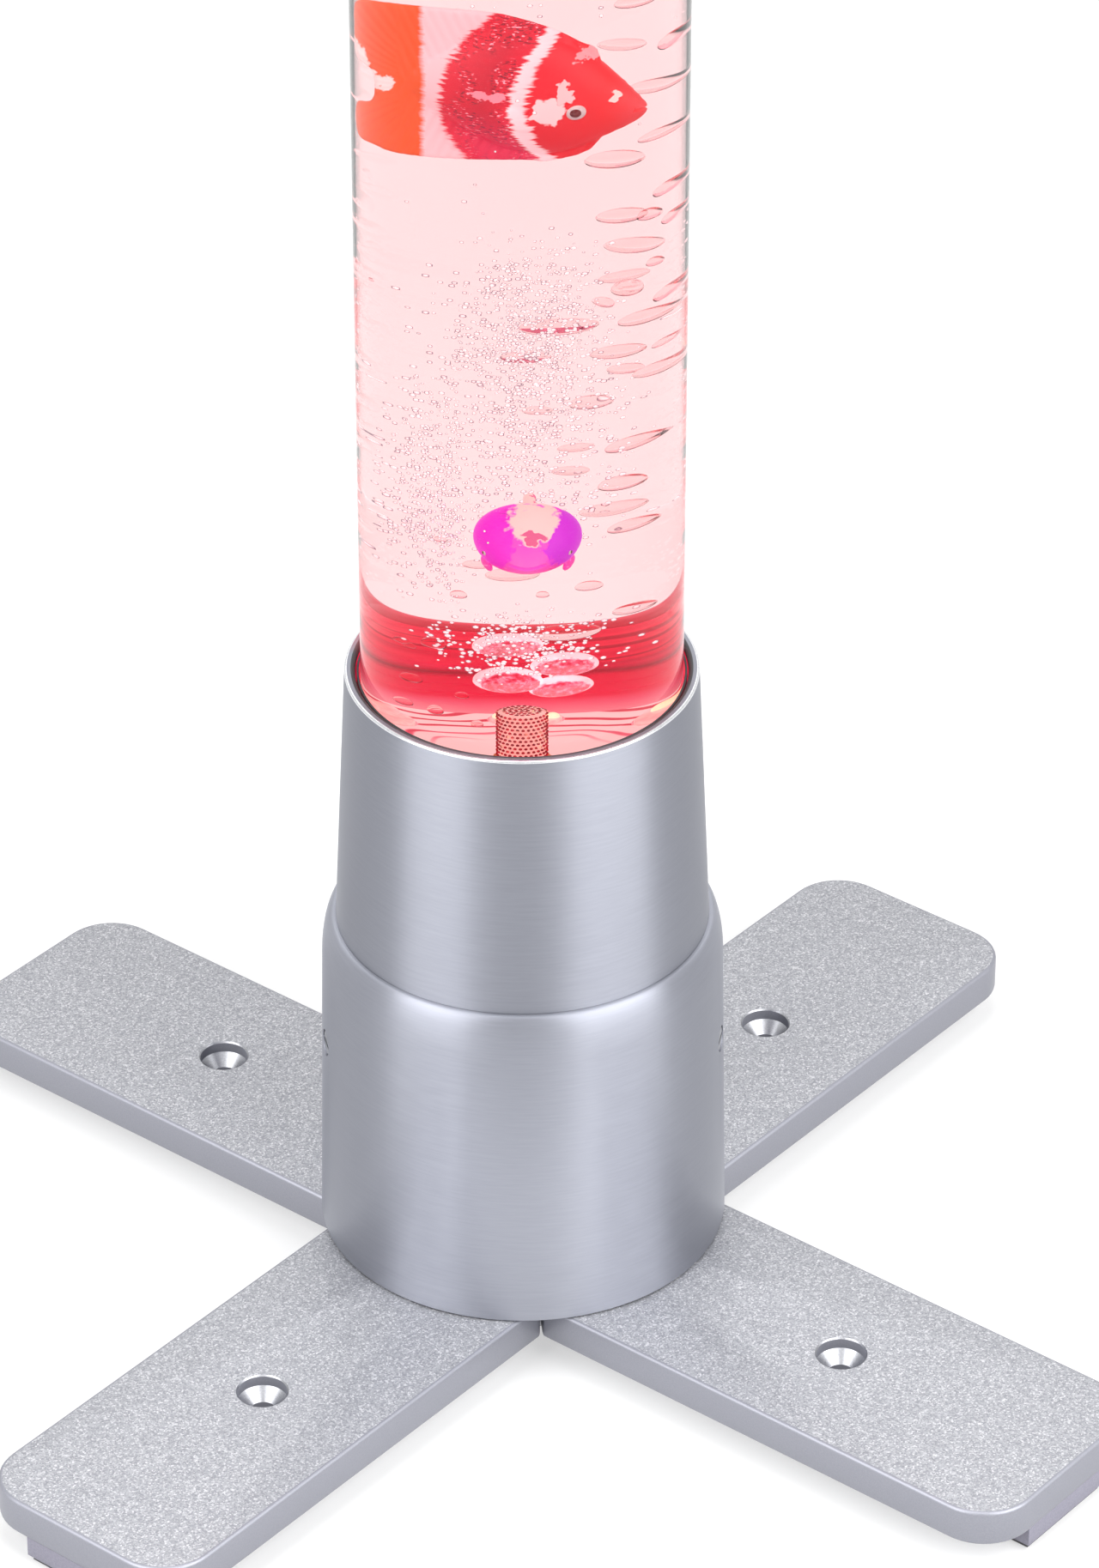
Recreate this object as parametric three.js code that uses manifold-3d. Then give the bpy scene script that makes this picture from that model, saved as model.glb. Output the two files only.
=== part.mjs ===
// LED bubble-column floor lamp: a water-filled acrylic tube with swimming plastic fish, on a tapered
// silver base that holds the air pump and the lights, carried by a cross of four metal legs.
// Units are millimetres, +Z is up, the front is -Y. The origin is on the floor under the tube's axis.
import * as THREE from "three";
import { mergeVertices } from "three/addons/utils/BufferGeometryUtils.js";
import Module from "manifold-3d";

const wasm = await Module();
wasm.setup();

// Fits shared by all pieces
const fit = {
  gap: 0.3, // between faces that touch
  running: 0.5, // round pieces that slide or turn
  overrun: 1, // how far a cutter passes the face it cuts
};

// Facets round a full turn
const facets = { large: 48, medium: 24, small: 12, tiny: 6, corner: 4 };

// Legs: four plates, mitred where they meet
const leg = {
  reach: 174.6, // from the axis to the tip
  width: 64,
  thickness: 10,
  tipRadius: 14,
  chamfer: 0.9,
  mitreGap: 0.6,
  boltReach: 27,
  fixingReach: 103.4, // the floor-fixing hole
  fixingRadius: 6.3,
  fixingDepth: 3.1,
  fixingBore: 3.3,
};

// Feet under the leg tips
const foot = {
  length: 30,
  width: 32,
  blockHeight: 5.9,
  blockChamfer: 0.6,
  padThickness: 1.5,
  padInset: 1,
  padChamfer: 0.3,
  tipInset: 0.9,
};

// Hub plate and the bolts that hold the legs to the base
const hub = { radius: 38, thickness: 2.4, chamfer: 0.5 };
const bolt = {
  radius: 2,
  headRadius: 4,
  headHeight: 2.2,
  length: 26,
  socketRadius: 1.6,
  socketDepth: 1.4,
};

// Lower housing with its rounded shoulder
const housing = {
  footRadius: 52.3,
  shoulderRadius: 50.9,
  mouthRadius: 47.7,
  shoulderHeight: 79,
  height: 91.7,
  wall: 2.4,
  footChamfer: 0.5,
  shoulderSteps: 4,
};

// Chassis that closes the housing: bosses for the bolts, posts for the side screws, rails for the board
const chassis = {
  thickness: 3,
  bossRadius: 4.2,
  bossHeight: 11,
  postWidth: 9,
  postDepth: 6,
  postRise: 5,
  railWidth: 5,
  railDepth: 6,
  railHeight: 22,
};

// Upper collar that holds the tube
const collar = {
  footRadius: 47.2,
  rimRadius: 44,
  height: 72.3,
  wall: 2.8,
  rimChamfer: 0.6,
  skirtDepth: 9,
  skirtWall: 2.2,
  ledgeThickness: 4,
  ledgeBore: 33,
};

// Side screws that pin the housing to the chassis's posts
const sideScrew = {
  headRadius: 3.2,
  headHeight: 2.2,
  shankRadius: 1.6,
  shankLength: 6,
  recess: 0.25,
  height: 57.6, // above the legs
  slotWidth: 0.9,
  slotDepth: 0.8,
  rightAngle: -16, // degrees from +X
  leftAngle: 186,
};

// Water tube and the sealing sleeve round it
const tube = { radius: 40, wall: 3, length: 1000, seatDepth: 32 };
const gasket = { wall: 0.6, height: 9, recess: 0.8 };

// Bulkhead that closes the tube's bottom
const bulkhead = {
  wall: 2.2,
  rimWall: 3.2,
  height: 23.6,
  floorHeight: 6,
  floorThickness: 5,
  lip: 0.6,
};

// Air inlet and air stone
const stone = { radius: 4.65, height: 15.8, crown: 0.8, wellRoof: 4 };
const nipple = {
  radius: 2.4,
  bore: 1.2,
  flangeRadius: 5.2,
  flangeHeight: 1.6,
  tail: 9,
  tailRadius: 2.1,
  barbHeight: 3,
};

// Light board under the bulkhead, and the clear ring whose lenses stand up through the floor
const lightBoard = { thickness: 1.6, bore: 5.6, chipSize: 5, chipHeight: 0.9 };
const lens = {
  ring: 28.8,
  firstAngle: 83.3, // degrees from +X
  groups: 9,
  plateHalfWidth: 4.6,
  postRadius: 4.4,
  proud: 0.8,
  dotRadius: 1.15,
  dotHeight: 1.5,
  dotSpacing: 3.2,
  dotsInGroup: 3,
};
// Radius and height of a lens dot as shares of its size, from its foot to its tip
const dotShares = [
  [1, 0.45],
  [0.7, 0.86],
];

// Air pump
const pump = {
  length: 68,
  width: 42,
  height: 30,
  wall: 2,
  mountLength: 8,
  mountWidth: 30,
  mountHeight: 12.5,
  mountReach: 29,
};
const core = { length: 18, width: 25, height: 14, limb: 5, spine: 5, inset: 2, lift: 3.4 };
const coil = { wall: 2.6, length: 9 };
const arm = {
  thickness: 3,
  length: 30,
  height: 8,
  pivotInset: 3,
  pinRadius: 1.4,
  pinRise: 6,
  magnetLength: 9,
  magnetThickness: 3.4,
  magnetInset: 7,
  airGap: 2,
};
const bellows = { radius: 9, height: 5, waist: 7.4, gap: 1.2 };
const valveBox = {
  length: 15,
  width: 21,
  height: 20,
  nozzleRadius: 2.2,
  nozzleHeight: 9,
  nozzleBore: 1.1,
};

// Air line from the pump to the tube
const hose = { wall: 0.8, boreRadius: 1.9, steps: 20, straight: 1.5, pullShare: 0.45 };
const checkValve = {
  radius: 5.5,
  length: 16,
  spigot: 6,
  chamfer: 1.2,
  centre: [19, -5.5, 104], // from the floor under the axis
};

// Control board, power inlet and mode button at the back
const board = { width: 30, height: 46, thickness: 1.6, reach: 35 };
const inlet = {
  flangeRadius: 7.2,
  flangeHeight: 1.4,
  barrelRadius: 5.6,
  boreRadius: 2.9,
  boreDepth: 9,
  pinRadius: 0.9,
  height: 24, // above the legs
};
const button = {
  radius: 5,
  proud: 2,
  travel: 1.5,
  crown: 0.8,
  shoulderRadius: 6.2,
  shoulderLength: 1.7,
  shoulderSetback: 0.9,
  stemRadius: 1.8,
  height: 44, // above the legs
};
const microSwitch = { size: 6, depth: 2.6, plungerRadius: 1.4, plungerLength: 0.8 };
const wire = { radius: 1.5, steps: 12, sideReach: 10, rise: 6, drop: 12 };

// Cap on top of the tube
const cap = {
  radius: 44,
  topRadius: 42.6,
  height: 38,
  topThickness: 3,
  edge: 2.4,
  overlap: 24,
  ventRadius: 1.7,
  ventRing: 16,
  ventCount: 6,
  dishRadius: 26,
  dishDepth: 1.2,
};
const capSeal = { thickness: 0.9, height: 8, inset: 6 };

// Fish: where each swims and how large it is. Level is the height of its middle over the floor.
// The fins are as high as a share of the fish's height.
const fishKinds = {
  fish_clown: {
    length: 54,
    height: 39,
    thickness: 15,
    finShare: 1,
    level: 348,
    side: -4.7,
    depth: 0.5,
    yaw: -6,
  },
  fish_purple: {
    length: 33,
    height: 21,
    thickness: 20,
    finShare: 0.4,
    level: 228,
    side: 1.1,
    depth: 0,
    yaw: -96,
  },
  fish_yellow: {
    length: 50,
    height: 36,
    thickness: 12,
    finShare: 1,
    level: 500,
    side: 3,
    depth: 2,
    yaw: 196,
  },
  fish_blue: {
    length: 54,
    height: 31,
    thickness: 13,
    finShare: 1,
    level: 700,
    side: -3,
    depth: -2,
    yaw: 28,
  },
  fish_orange: {
    length: 46,
    height: 32,
    thickness: 14,
    finShare: 1,
    level: 905,
    side: 2,
    depth: 3,
    yaw: 150,
  },
};
// Sections of the body as shares of the fish's length, height and thickness, from tail root to nose
const bodyShares = [
  { along: -0.24, middle: 0, tall: 0.22, wide: 0.24 },
  { along: -0.13, middle: 0, tall: 0.5, wide: 0.6 },
  { along: -0.01, middle: 0, tall: 0.76, wide: 0.9 },
  { along: 0.1, middle: -0.02, tall: 0.84, wide: 1 },
  { along: 0.2, middle: -0.06, tall: 0.78, wide: 0.95 },
  { along: 0.28, middle: -0.08, tall: 0.66, wide: 0.84 },
  { along: 0.35, middle: -0.11, tall: 0.48, wide: 0.66 },
  { along: 0.41, middle: -0.15, tall: 0.32, wide: 0.46 },
  { along: 0.465, middle: -0.19, tall: 0.15, wide: 0.26 },
];
const tailRootShares = { along: -0.3, middle: 0 };
const noseShares = { along: 0.5, middle: -0.2 };
const bodySides = 12;
const finThickness = 1.6;
// Outline of the fins and the tail as shares of the length and height
const finShares = [
  [-0.48, 0.456],
  [-0.294, 0.5],
  [-0.058, 0.497],
  [0.053, 0.469],
  [0.18, 0.387],
  [0.273, 0.287],
  [0.338, 0.172],
  [0.338, -0.37],
  [0.18, -0.5],
  [0.095, -0.492],
  [-0.29, -0.5],
  [-0.394, -0.474],
  [-0.482, -0.44],
  [-0.5, -0.3],
  [-0.479, -0.215],
  [-0.4, -0.17],
  [-0.4, 0.02],
  [-0.488, 0.092],
  [-0.5, 0.28],
];

// Colours
const finish = {
  satinSilver: { color: 0xb9bbc6, roughness: 0.34, metalness: 0.85 },
  texturedSilver: { color: 0xc6c6cb, roughness: 0.55, metalness: 0.6 },
  greyPlastic: { color: 0xaeacb8, roughness: 0.5, metalness: 0.1 },
  rubber: { color: 0x55565a, roughness: 0.8, metalness: 0 },
  steel: { color: 0xa9abad, roughness: 0.35, metalness: 1 },
  clearAcrylic: { color: 0xffe4e4, roughness: 0.05, metalness: 0 },
  redAcrylic: { color: 0xf0304a, roughness: 0.2, metalness: 0 },
  ceramic: { color: 0xd9605c, roughness: 0.9, metalness: 0 },
  lens: { color: 0xffe6a0, roughness: 0.2, metalness: 0 },
  brass: { color: 0xc9a45a, roughness: 0.35, metalness: 1 },
  circuitGreen: { color: 0x2f6b3c, roughness: 0.5, metalness: 0 },
  blackPlastic: { color: 0x1d1e20, roughness: 0.55, metalness: 0 },
  whitePlastic: { color: 0xe6e6e6, roughness: 0.4, metalness: 0 },
  copper: { color: 0xb0602c, roughness: 0.4, metalness: 1 },
  silicone: { color: 0xdfe6e6, roughness: 0.4, metalness: 0 },
  fish_clown: { color: 0xf2562a, roughness: 0.35, metalness: 0 },
  fish_purple: { color: 0xd21bd0, roughness: 0.35, metalness: 0 },
  fish_yellow: { color: 0xf3cf2c, roughness: 0.35, metalness: 0 },
  fish_blue: { color: 0x2c55c8, roughness: 0.35, metalness: 0 },
  fish_orange: { color: 0xee7d22, roughness: 0.35, metalness: 0 },
};

// Levels and radii that several pieces share
const legBottom = foot.padThickness + fit.gap + foot.blockHeight + fit.gap;
const legTop = legBottom + leg.thickness;
const baseBottom = legTop + fit.gap;
const chassisTop = baseBottom + chassis.thickness;
const housingTop = legTop + housing.height;
const shoulderLevel = legTop + housing.shoulderHeight;
const collarBottom = housingTop + fit.gap;
const rimLevel = housingTop + collar.height;
const tubeBottom = rimLevel - tube.seatDepth;
const tubeTop = tubeBottom + tube.length;
const tubeBore = tube.radius - tube.wall;
const collarBore = tube.radius + fit.gap + gasket.wall + fit.gap;
const bulkheadRadius = tubeBore - fit.gap;
const bulkheadBore = bulkheadRadius - bulkhead.wall;
const bulkheadFloor = tubeBottom + bulkhead.floorHeight;
const tankFloor = bulkheadFloor + bulkhead.floorThickness;
const lightBoardBottom = tubeBottom;
const lightBoardTop = lightBoardBottom + lightBoard.thickness;
const pipeTail = lightBoardBottom - nipple.tail;
const socketRadius = Math.max(valveBox.nozzleRadius, nipple.radius) + fit.gap;
const pumpBottom = chassisTop + fit.gap + pump.mountHeight + fit.gap;
const pumpFloor = pumpBottom + pump.wall;
const pumpLeft = pump.wall - pump.length / 2;
const pumpMiddle = pumpFloor + core.lift + fit.gap + core.height / 2;
const magnetStart = pumpLeft + core.inset + core.length + arm.airGap;
const armMiddle = magnetStart + arm.magnetThickness + fit.gap + arm.thickness / 2;
const boardBottom = chassisTop + fit.gap;
const boardFace = board.reach + board.thickness;
const inletLevel = legTop + inlet.height;
const buttonLevel = legTop + button.height;
const screwLevel = legTop + sideScrew.height;
const chassisRadius = housing.footRadius - housing.wall - fit.gap;

// Shape helpers
function toSolid(geometry) {
  const plain = geometry.index ? geometry.toNonIndexed() : geometry.clone();
  plain.deleteAttribute("normal");
  plain.deleteAttribute("uv");
  const merged = mergeVertices(plain);
  const mesh = new wasm.Mesh({
    numProp: 3,
    vertProperties: new Float32Array(merged.attributes.position.array),
    triVerts: new Uint32Array(merged.index.array),
  });
  return new wasm.Manifold(mesh);
}

function toGeometry(solid) {
  const mesh = solid.getMesh();
  const geometry = new THREE.BufferGeometry();
  geometry.setAttribute("position", new THREE.BufferAttribute(mesh.vertProperties, 3));
  geometry.setIndex(new THREE.BufferAttribute(mesh.triVerts, 1));
  const flat = geometry.toNonIndexed();
  flat.computeVertexNormals();
  return flat;
}

// A profile of [radius, height] points turned round Z. It closes on itself, or starts and ends on the axis.
function turned(points, segments) {
  const closed = points[0][0] !== 0;
  const ring = closed ? [...points, points[0]] : points;
  let area = 0;
  points.forEach(([r, z], i) => {
    const [nextR, nextZ] = points[(i + 1) % points.length];
    area += r * nextZ - nextR * z;
  });
  const ordered = area > 0 ? ring : [...ring].reverse();
  const profile = ordered.map(([r, z]) => new THREE.Vector2(r, z));
  return new THREE.LatheGeometry(profile, segments).rotateX(Math.PI / 2);
}

// A ring or disc between two levels
function disc(radius, bottom, top, segments, bore = 0) {
  const outside = [
    [radius, bottom],
    [radius, top],
  ];
  return turned([[bore, bottom], ...outside, [bore, top]], segments);
}

function block(sizeX, sizeY, sizeZ, x, y, z) {
  return new THREE.BoxGeometry(sizeX, sizeY, sizeZ).translate(x, y, z);
}

// A cylinder that lies along Y, from its near end to its far end
function rodAlongY(radius, from, to, segments) {
  const length = to - from;
  return new THREE.CylinderGeometry(radius, radius, length, segments).translate(
    0,
    from + length / 2,
    0,
  );
}

// Cuts each tool out of a body
function cut(body, ...tools) {
  const result = tools.reduce((solid, tool) => solid.subtract(toSolid(tool)), toSolid(body));
  return toGeometry(result);
}

// Joins pieces that overlap into one body
function joined(first, ...others) {
  const result = others.reduce((solid, other) => solid.add(toSolid(other)), toSolid(first));
  return toGeometry(result);
}

function chamferedPlate(length, width, thickness, edge) {
  const x = length / 2;
  const y = width / 2;
  const shape = new THREE.Shape([
    new THREE.Vector2(-x, -y),
    new THREE.Vector2(x, -y),
    new THREE.Vector2(x, y),
    new THREE.Vector2(-x, y),
  ]);
  return bevelled(shape, thickness, edge);
}

// Extrudes an outline upwards from zero, with a chamfer inside the outline at both faces
function bevelled(shape, thickness, edge) {
  return new THREE.ExtrudeGeometry(shape, {
    depth: thickness - 2 * edge,
    bevelThickness: edge,
    bevelSize: edge,
    bevelOffset: -edge,
    bevelSegments: 1,
    curveSegments: facets.corner,
  }).translate(0, 0, edge);
}

// A round bar or pipe along a smooth curve
function rodAlong(path, radius, steps, bore = 0) {
  const section = new THREE.Shape();
  section.absarc(0, 0, radius, 0, 2 * Math.PI, false);
  if (bore > 0) {
    const hollow = new THREE.Path();
    hollow.absarc(0, 0, bore, 0, 2 * Math.PI, true);
    section.holes.push(hollow);
  }
  return new THREE.ExtrudeGeometry(section, {
    steps,
    extrudePath: path,
    curveSegments: facets.corner,
  });
}

function rodThrough(points, radius, steps) {
  return rodAlong(new THREE.CatmullRomCurve3(points, false, "centripetal"), radius, steps);
}

const lamp = new THREE.Group();

function add(parent, name, geometry, look) {
  const mesh = new THREE.Mesh(geometry, new THREE.MeshStandardMaterial(finish[look]));
  mesh.name = name;
  parent.add(mesh);
  return mesh;
}

// Leg plate along +X with its mitred point at the axis
function legPlate() {
  const half = leg.width / 2;
  const inset = leg.mitreGap / Math.SQRT2;
  const tipCentre = leg.reach - leg.tipRadius;
  const shape = new THREE.Shape();
  shape.moveTo(inset, 0);
  shape.lineTo(half + inset, -half);
  shape.lineTo(tipCentre, -half);
  shape.absarc(tipCentre, leg.tipRadius - half, leg.tipRadius, -Math.PI / 2, 0, false);
  shape.absarc(tipCentre, half - leg.tipRadius, leg.tipRadius, 0, Math.PI / 2, false);
  shape.lineTo(half + inset, half);
  shape.closePath();
  const coneDepth = leg.fixingRadius - leg.fixingBore;
  const seat = leg.thickness - leg.fixingDepth;
  const above = leg.thickness + fit.overrun;
  const fixing = turned(
    [
      [0, -fit.overrun],
      [leg.fixingBore, -fit.overrun],
      [leg.fixingBore, seat - coneDepth],
      [leg.fixingRadius, seat],
      [leg.fixingRadius, above],
      [0, above],
    ],
    facets.medium,
  ).translate(leg.fixingReach, 0, 0);
  const boltHole = disc(bolt.radius + fit.running, -fit.overrun, above, facets.small);
  boltHole.translate(leg.boltReach, 0, 0);
  return cut(bevelled(shape, leg.thickness, leg.chamfer), fixing, boltHole);
}

// Bolt with its head down, standing on its head's lower face
function legBolt() {
  const shankTop = bolt.headHeight + bolt.length;
  return turned(
    [
      [0, bolt.socketDepth],
      [bolt.socketRadius, bolt.socketDepth],
      [bolt.socketRadius, 0],
      [bolt.headRadius, 0],
      [bolt.headRadius, bolt.headHeight],
      [bolt.radius, bolt.headHeight],
      [bolt.radius, shankTop],
      [0, shankTop],
    ],
    facets.small,
  );
}

// The four bolts stand under the legs' middle lines, on the diagonals
function boltPlaces() {
  const reach = leg.boltReach * Math.SQRT1_2;
  return [
    [reach, reach],
    [-reach, reach],
    [-reach, -reach],
    [reach, -reach],
  ];
}

function addLegs() {
  const places = { back_right: 45, back_left: 135, front_left: 225, front_right: 315 };
  const footReach = leg.reach - foot.tipInset - foot.length / 2;
  const hubBottom = legBottom - fit.gap - hub.thickness;
  const padLength = foot.length - 2 * foot.padInset;
  const padWidth = foot.width - 2 * foot.padInset;
  for (const [place, degrees] of Object.entries(places)) {
    const turn = new THREE.Group();
    turn.rotation.z = THREE.MathUtils.degToRad(degrees);
    lamp.add(turn);
    add(turn, `leg_${place}`, legPlate(), "texturedSilver").position.z = legBottom;
    const footBlock = chamferedPlate(foot.length, foot.width, foot.blockHeight, foot.blockChamfer);
    const blockMesh = add(turn, `foot_block_${place}`, footBlock, "greyPlastic");
    blockMesh.position.set(footReach, 0, foot.padThickness + fit.gap);
    const pad = chamferedPlate(padLength, padWidth, foot.padThickness, foot.padChamfer);
    add(turn, `foot_pad_${place}`, pad, "rubber").position.x = footReach;
    const boltMesh = add(turn, `leg_bolt_${place}`, legBolt(), "steel");
    boltMesh.position.set(leg.boltReach, 0, hubBottom - fit.gap - bolt.headHeight);
  }
  addHubPlate(hubBottom);
}

function addHubPlate(bottom) {
  const top = bottom + hub.thickness;
  const plate = turned(
    [
      [0, bottom],
      [hub.radius - hub.chamfer, bottom],
      [hub.radius, bottom + hub.chamfer],
      [hub.radius, top],
      [0, top],
    ],
    facets.medium,
  );
  const holes = boltPlaces().map(([x, y]) =>
    disc(bolt.radius + fit.running, bottom - fit.overrun, top + fit.overrun, facets.small)
      .translate(x, y, 0),
  );
  add(lamp, "hub_plate", cut(plate, ...holes), "steel");
}

// Outer radius of the housing's straight taper at a level
function housingRadiusAt(level) {
  const share = (level - baseBottom) / (shoulderLevel - baseBottom);
  return THREE.MathUtils.lerp(housing.footRadius, housing.shoulderRadius, share);
}

// The rounded shoulder as a quarter of an ellipse, moved inwards by a wall
function shoulder(inset) {
  const reach = housing.shoulderRadius - housing.mouthRadius;
  const rise = housingTop - shoulderLevel;
  const points = [];
  for (let i = 0; i <= housing.shoulderSteps; i++) {
    const angle = ((Math.PI / 2) * i) / housing.shoulderSteps;
    points.push([
      housing.mouthRadius + reach * Math.cos(angle) - inset,
      shoulderLevel + rise * Math.sin(angle),
    ]);
  }
  return points;
}

function sideScrewAngles() {
  return {
    right: THREE.MathUtils.degToRad(sideScrew.rightAngle),
    left: THREE.MathUtils.degToRad(sideScrew.leftAngle),
  };
}

function addHousing() {
  const body = turned(
    [
      [housing.footRadius - housing.wall, baseBottom],
      [housing.footRadius - housing.footChamfer, baseBottom],
      [housing.footRadius, baseBottom + housing.footChamfer],
      ...shoulder(0),
      ...shoulder(housing.wall).reverse(),
    ],
    facets.large,
  );
  const from = housing.shoulderRadius - housing.wall - housing.wall;
  const to = housing.footRadius + fit.overrun;
  const inletHole = rodAlongY(inlet.barrelRadius + fit.gap, from, to, facets.medium);
  inletHole.translate(0, 0, inletLevel);
  const buttonHole = rodAlongY(button.radius + fit.running, from, to, facets.medium);
  buttonHole.translate(0, 0, buttonLevel);
  const screwHoles = Object.values(sideScrewAngles()).map((angle) =>
    rodAlongY(sideScrew.headRadius + fit.gap, from, to, facets.small)
      .rotateZ(angle - Math.PI / 2)
      .translate(0, 0, screwLevel),
  );
  add(lamp, "base_housing", cut(body, inletHole, buttonHole, ...screwHoles), "satinSilver");
}

// Slotted screw along Y, with the face of its head at zero
function slottedScrew() {
  const { headRadius, headHeight, shankRadius, shankLength, slotDepth, slotWidth } = sideScrew;
  const shankEnd = -headHeight - shankLength;
  const body = joined(
    rodAlongY(headRadius, -headHeight, 0, facets.small),
    rodAlongY(shankRadius, shankEnd, slotDepth - headHeight, facets.small),
  );
  const slotLength = 2 * headRadius + fit.overrun;
  const slot = block(slotLength, slotDepth + fit.overrun, slotWidth, 0, fit.overrun / 2, 0);
  slot.translate(0, -slotDepth / 2, 0);
  return cut(body, slot);
}

function addSideScrews() {
  const reach = housingRadiusAt(screwLevel) - sideScrew.recess;
  for (const [side, angle] of Object.entries(sideScrewAngles())) {
    const mesh = add(lamp, `side_screw_${side}`, slottedScrew(), "steel");
    mesh.rotation.z = angle - Math.PI / 2;
    mesh.position.set(reach * Math.cos(angle), reach * Math.sin(angle), screwLevel);
  }
}

function addChassis() {
  const inDisc = chassisTop - chassis.thickness / 2;
  const below = baseBottom - fit.overrun;
  const bossTop = chassisTop + chassis.bossHeight;
  const bosses = boltPlaces().map(([x, y]) =>
    disc(chassis.bossRadius, inDisc, bossTop, facets.small).translate(x, y, 0),
  );
  const boltHoles = boltPlaces().map(([x, y]) =>
    disc(bolt.radius + fit.gap, below, bossTop + fit.overrun, facets.small).translate(x, y, 0),
  );
  const angles = Object.values(sideScrewAngles());
  const postTop = screwLevel + chassis.postRise;
  const wallInside = housingRadiusAt(screwLevel) - housing.wall - fit.gap;
  const postReach = Math.sqrt(wallInside ** 2 - (chassis.postWidth / 2) ** 2);
  const postMiddle = postReach - chassis.postDepth / 2;
  const postHeight = postTop - inDisc;
  const posts = angles.map((angle) =>
    block(chassis.postWidth, chassis.postDepth, postHeight, 0, postMiddle, inDisc + postHeight / 2)
      .rotateZ(angle - Math.PI / 2),
  );
  const postHoles = angles.map((angle) =>
    rodAlongY(
      sideScrew.shankRadius + fit.gap,
      postReach - chassis.postDepth - fit.overrun,
      postReach + fit.overrun,
      facets.small,
    )
      .rotateZ(angle - Math.PI / 2)
      .translate(0, 0, screwLevel),
  );
  const railMiddle = board.reach + board.thickness / 2;
  const railHeight = chassis.railHeight + chassis.thickness / 2;
  const rails = [-1, 1].map((side) =>
    block(
      chassis.railWidth,
      chassis.railDepth,
      railHeight,
      (side * board.width) / 2,
      railMiddle,
      inDisc + railHeight / 2,
    ),
  );
  const boardSlot = block(
    board.width + 2 * fit.gap,
    board.thickness + 2 * fit.gap,
    board.height,
    0,
    railMiddle,
    chassisTop + board.height / 2,
  );
  const plate = disc(chassisRadius, baseBottom, chassisTop, facets.large);
  const body = joined(plate, ...bosses, ...posts, ...rails);
  const frame = cut(body, boardSlot, ...boltHoles, ...postHoles);
  add(lamp, "base_chassis", frame, "greyPlastic");
}

// Collar with a skirt that plugs into the housing, a ledge for the tube and a bore for the sleeve
function addCollar() {
  const skirtRadius = housing.mouthRadius - housing.wall - fit.gap;
  const skirtBottom = collarBottom - collar.skirtDepth;
  const skirtBore = skirtRadius - collar.skirtWall;
  const ledgeTop = tubeBottom - fit.gap;
  const ledgeBottom = ledgeTop - collar.ledgeThickness;
  const share = (ledgeBottom - collarBottom) / (rimLevel - collarBottom);
  const outside = THREE.MathUtils.lerp(collar.footRadius, collar.rimRadius, share);
  const body = turned(
    [
      [skirtBore, skirtBottom],
      [skirtRadius, skirtBottom],
      [skirtRadius, collarBottom],
      [collar.footRadius, collarBottom],
      [collar.rimRadius, rimLevel - collar.rimChamfer],
      [collar.rimRadius - collar.rimChamfer, rimLevel],
      [collarBore, rimLevel],
      [collarBore, ledgeTop],
      [collar.ledgeBore, ledgeTop],
      [collar.ledgeBore, ledgeBottom],
      [outside - collar.wall, ledgeBottom],
      [skirtBore, collarBottom],
    ],
    facets.large,
  );
  add(lamp, "tube_collar", body, "satinSilver");
  const sleeveTop = rimLevel - gasket.recess;
  const sleeveBottom = sleeveTop - gasket.height;
  const sleeveBore = tube.radius + fit.gap;
  const sleeve = disc(sleeveBore + gasket.wall, sleeveBottom, sleeveTop, facets.large, sleeveBore);
  add(lamp, "tube_gasket", sleeve, "rubber");
}

function addTank() {
  const wall = disc(tube.radius, tubeBottom, tubeTop, facets.large, tubeBore);
  add(lamp, "water_tube", wall, "clearAcrylic");
  const top = tubeBottom + bulkhead.height;
  const rimBore = bulkheadRadius - bulkhead.rimWall;
  const pipeHole = nipple.radius + fit.gap;
  const cup = turned(
    [
      [bulkheadBore, tubeBottom],
      [bulkheadRadius, tubeBottom],
      [bulkheadRadius, top],
      [rimBore + bulkhead.lip, top],
      [rimBore, top - bulkhead.lip],
      [rimBore, tankFloor],
      [pipeHole, tankFloor],
      [pipeHole, bulkheadFloor],
      [bulkheadBore, bulkheadFloor],
    ],
    facets.large,
  );
  const above = tankFloor + fit.overrun;
  const holes = lensPlaces().map(({ x, y }) =>
    disc(lens.postRadius + fit.gap, bulkheadFloor - fit.overrun, above, facets.small)
      .translate(x, y, 0),
  );
  add(lamp, "tube_bulkhead", cut(cup, ...holes), "redAcrylic");
}

// Where the groups of lights stand round the axis
function lensPlaces() {
  const places = [];
  for (let i = 0; i < lens.groups; i++) {
    const angle = THREE.MathUtils.degToRad(lens.firstAngle) + (2 * Math.PI * i) / lens.groups;
    places.push({ angle, x: lens.ring * Math.cos(angle), y: lens.ring * Math.sin(angle) });
  }
  return places;
}

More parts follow.
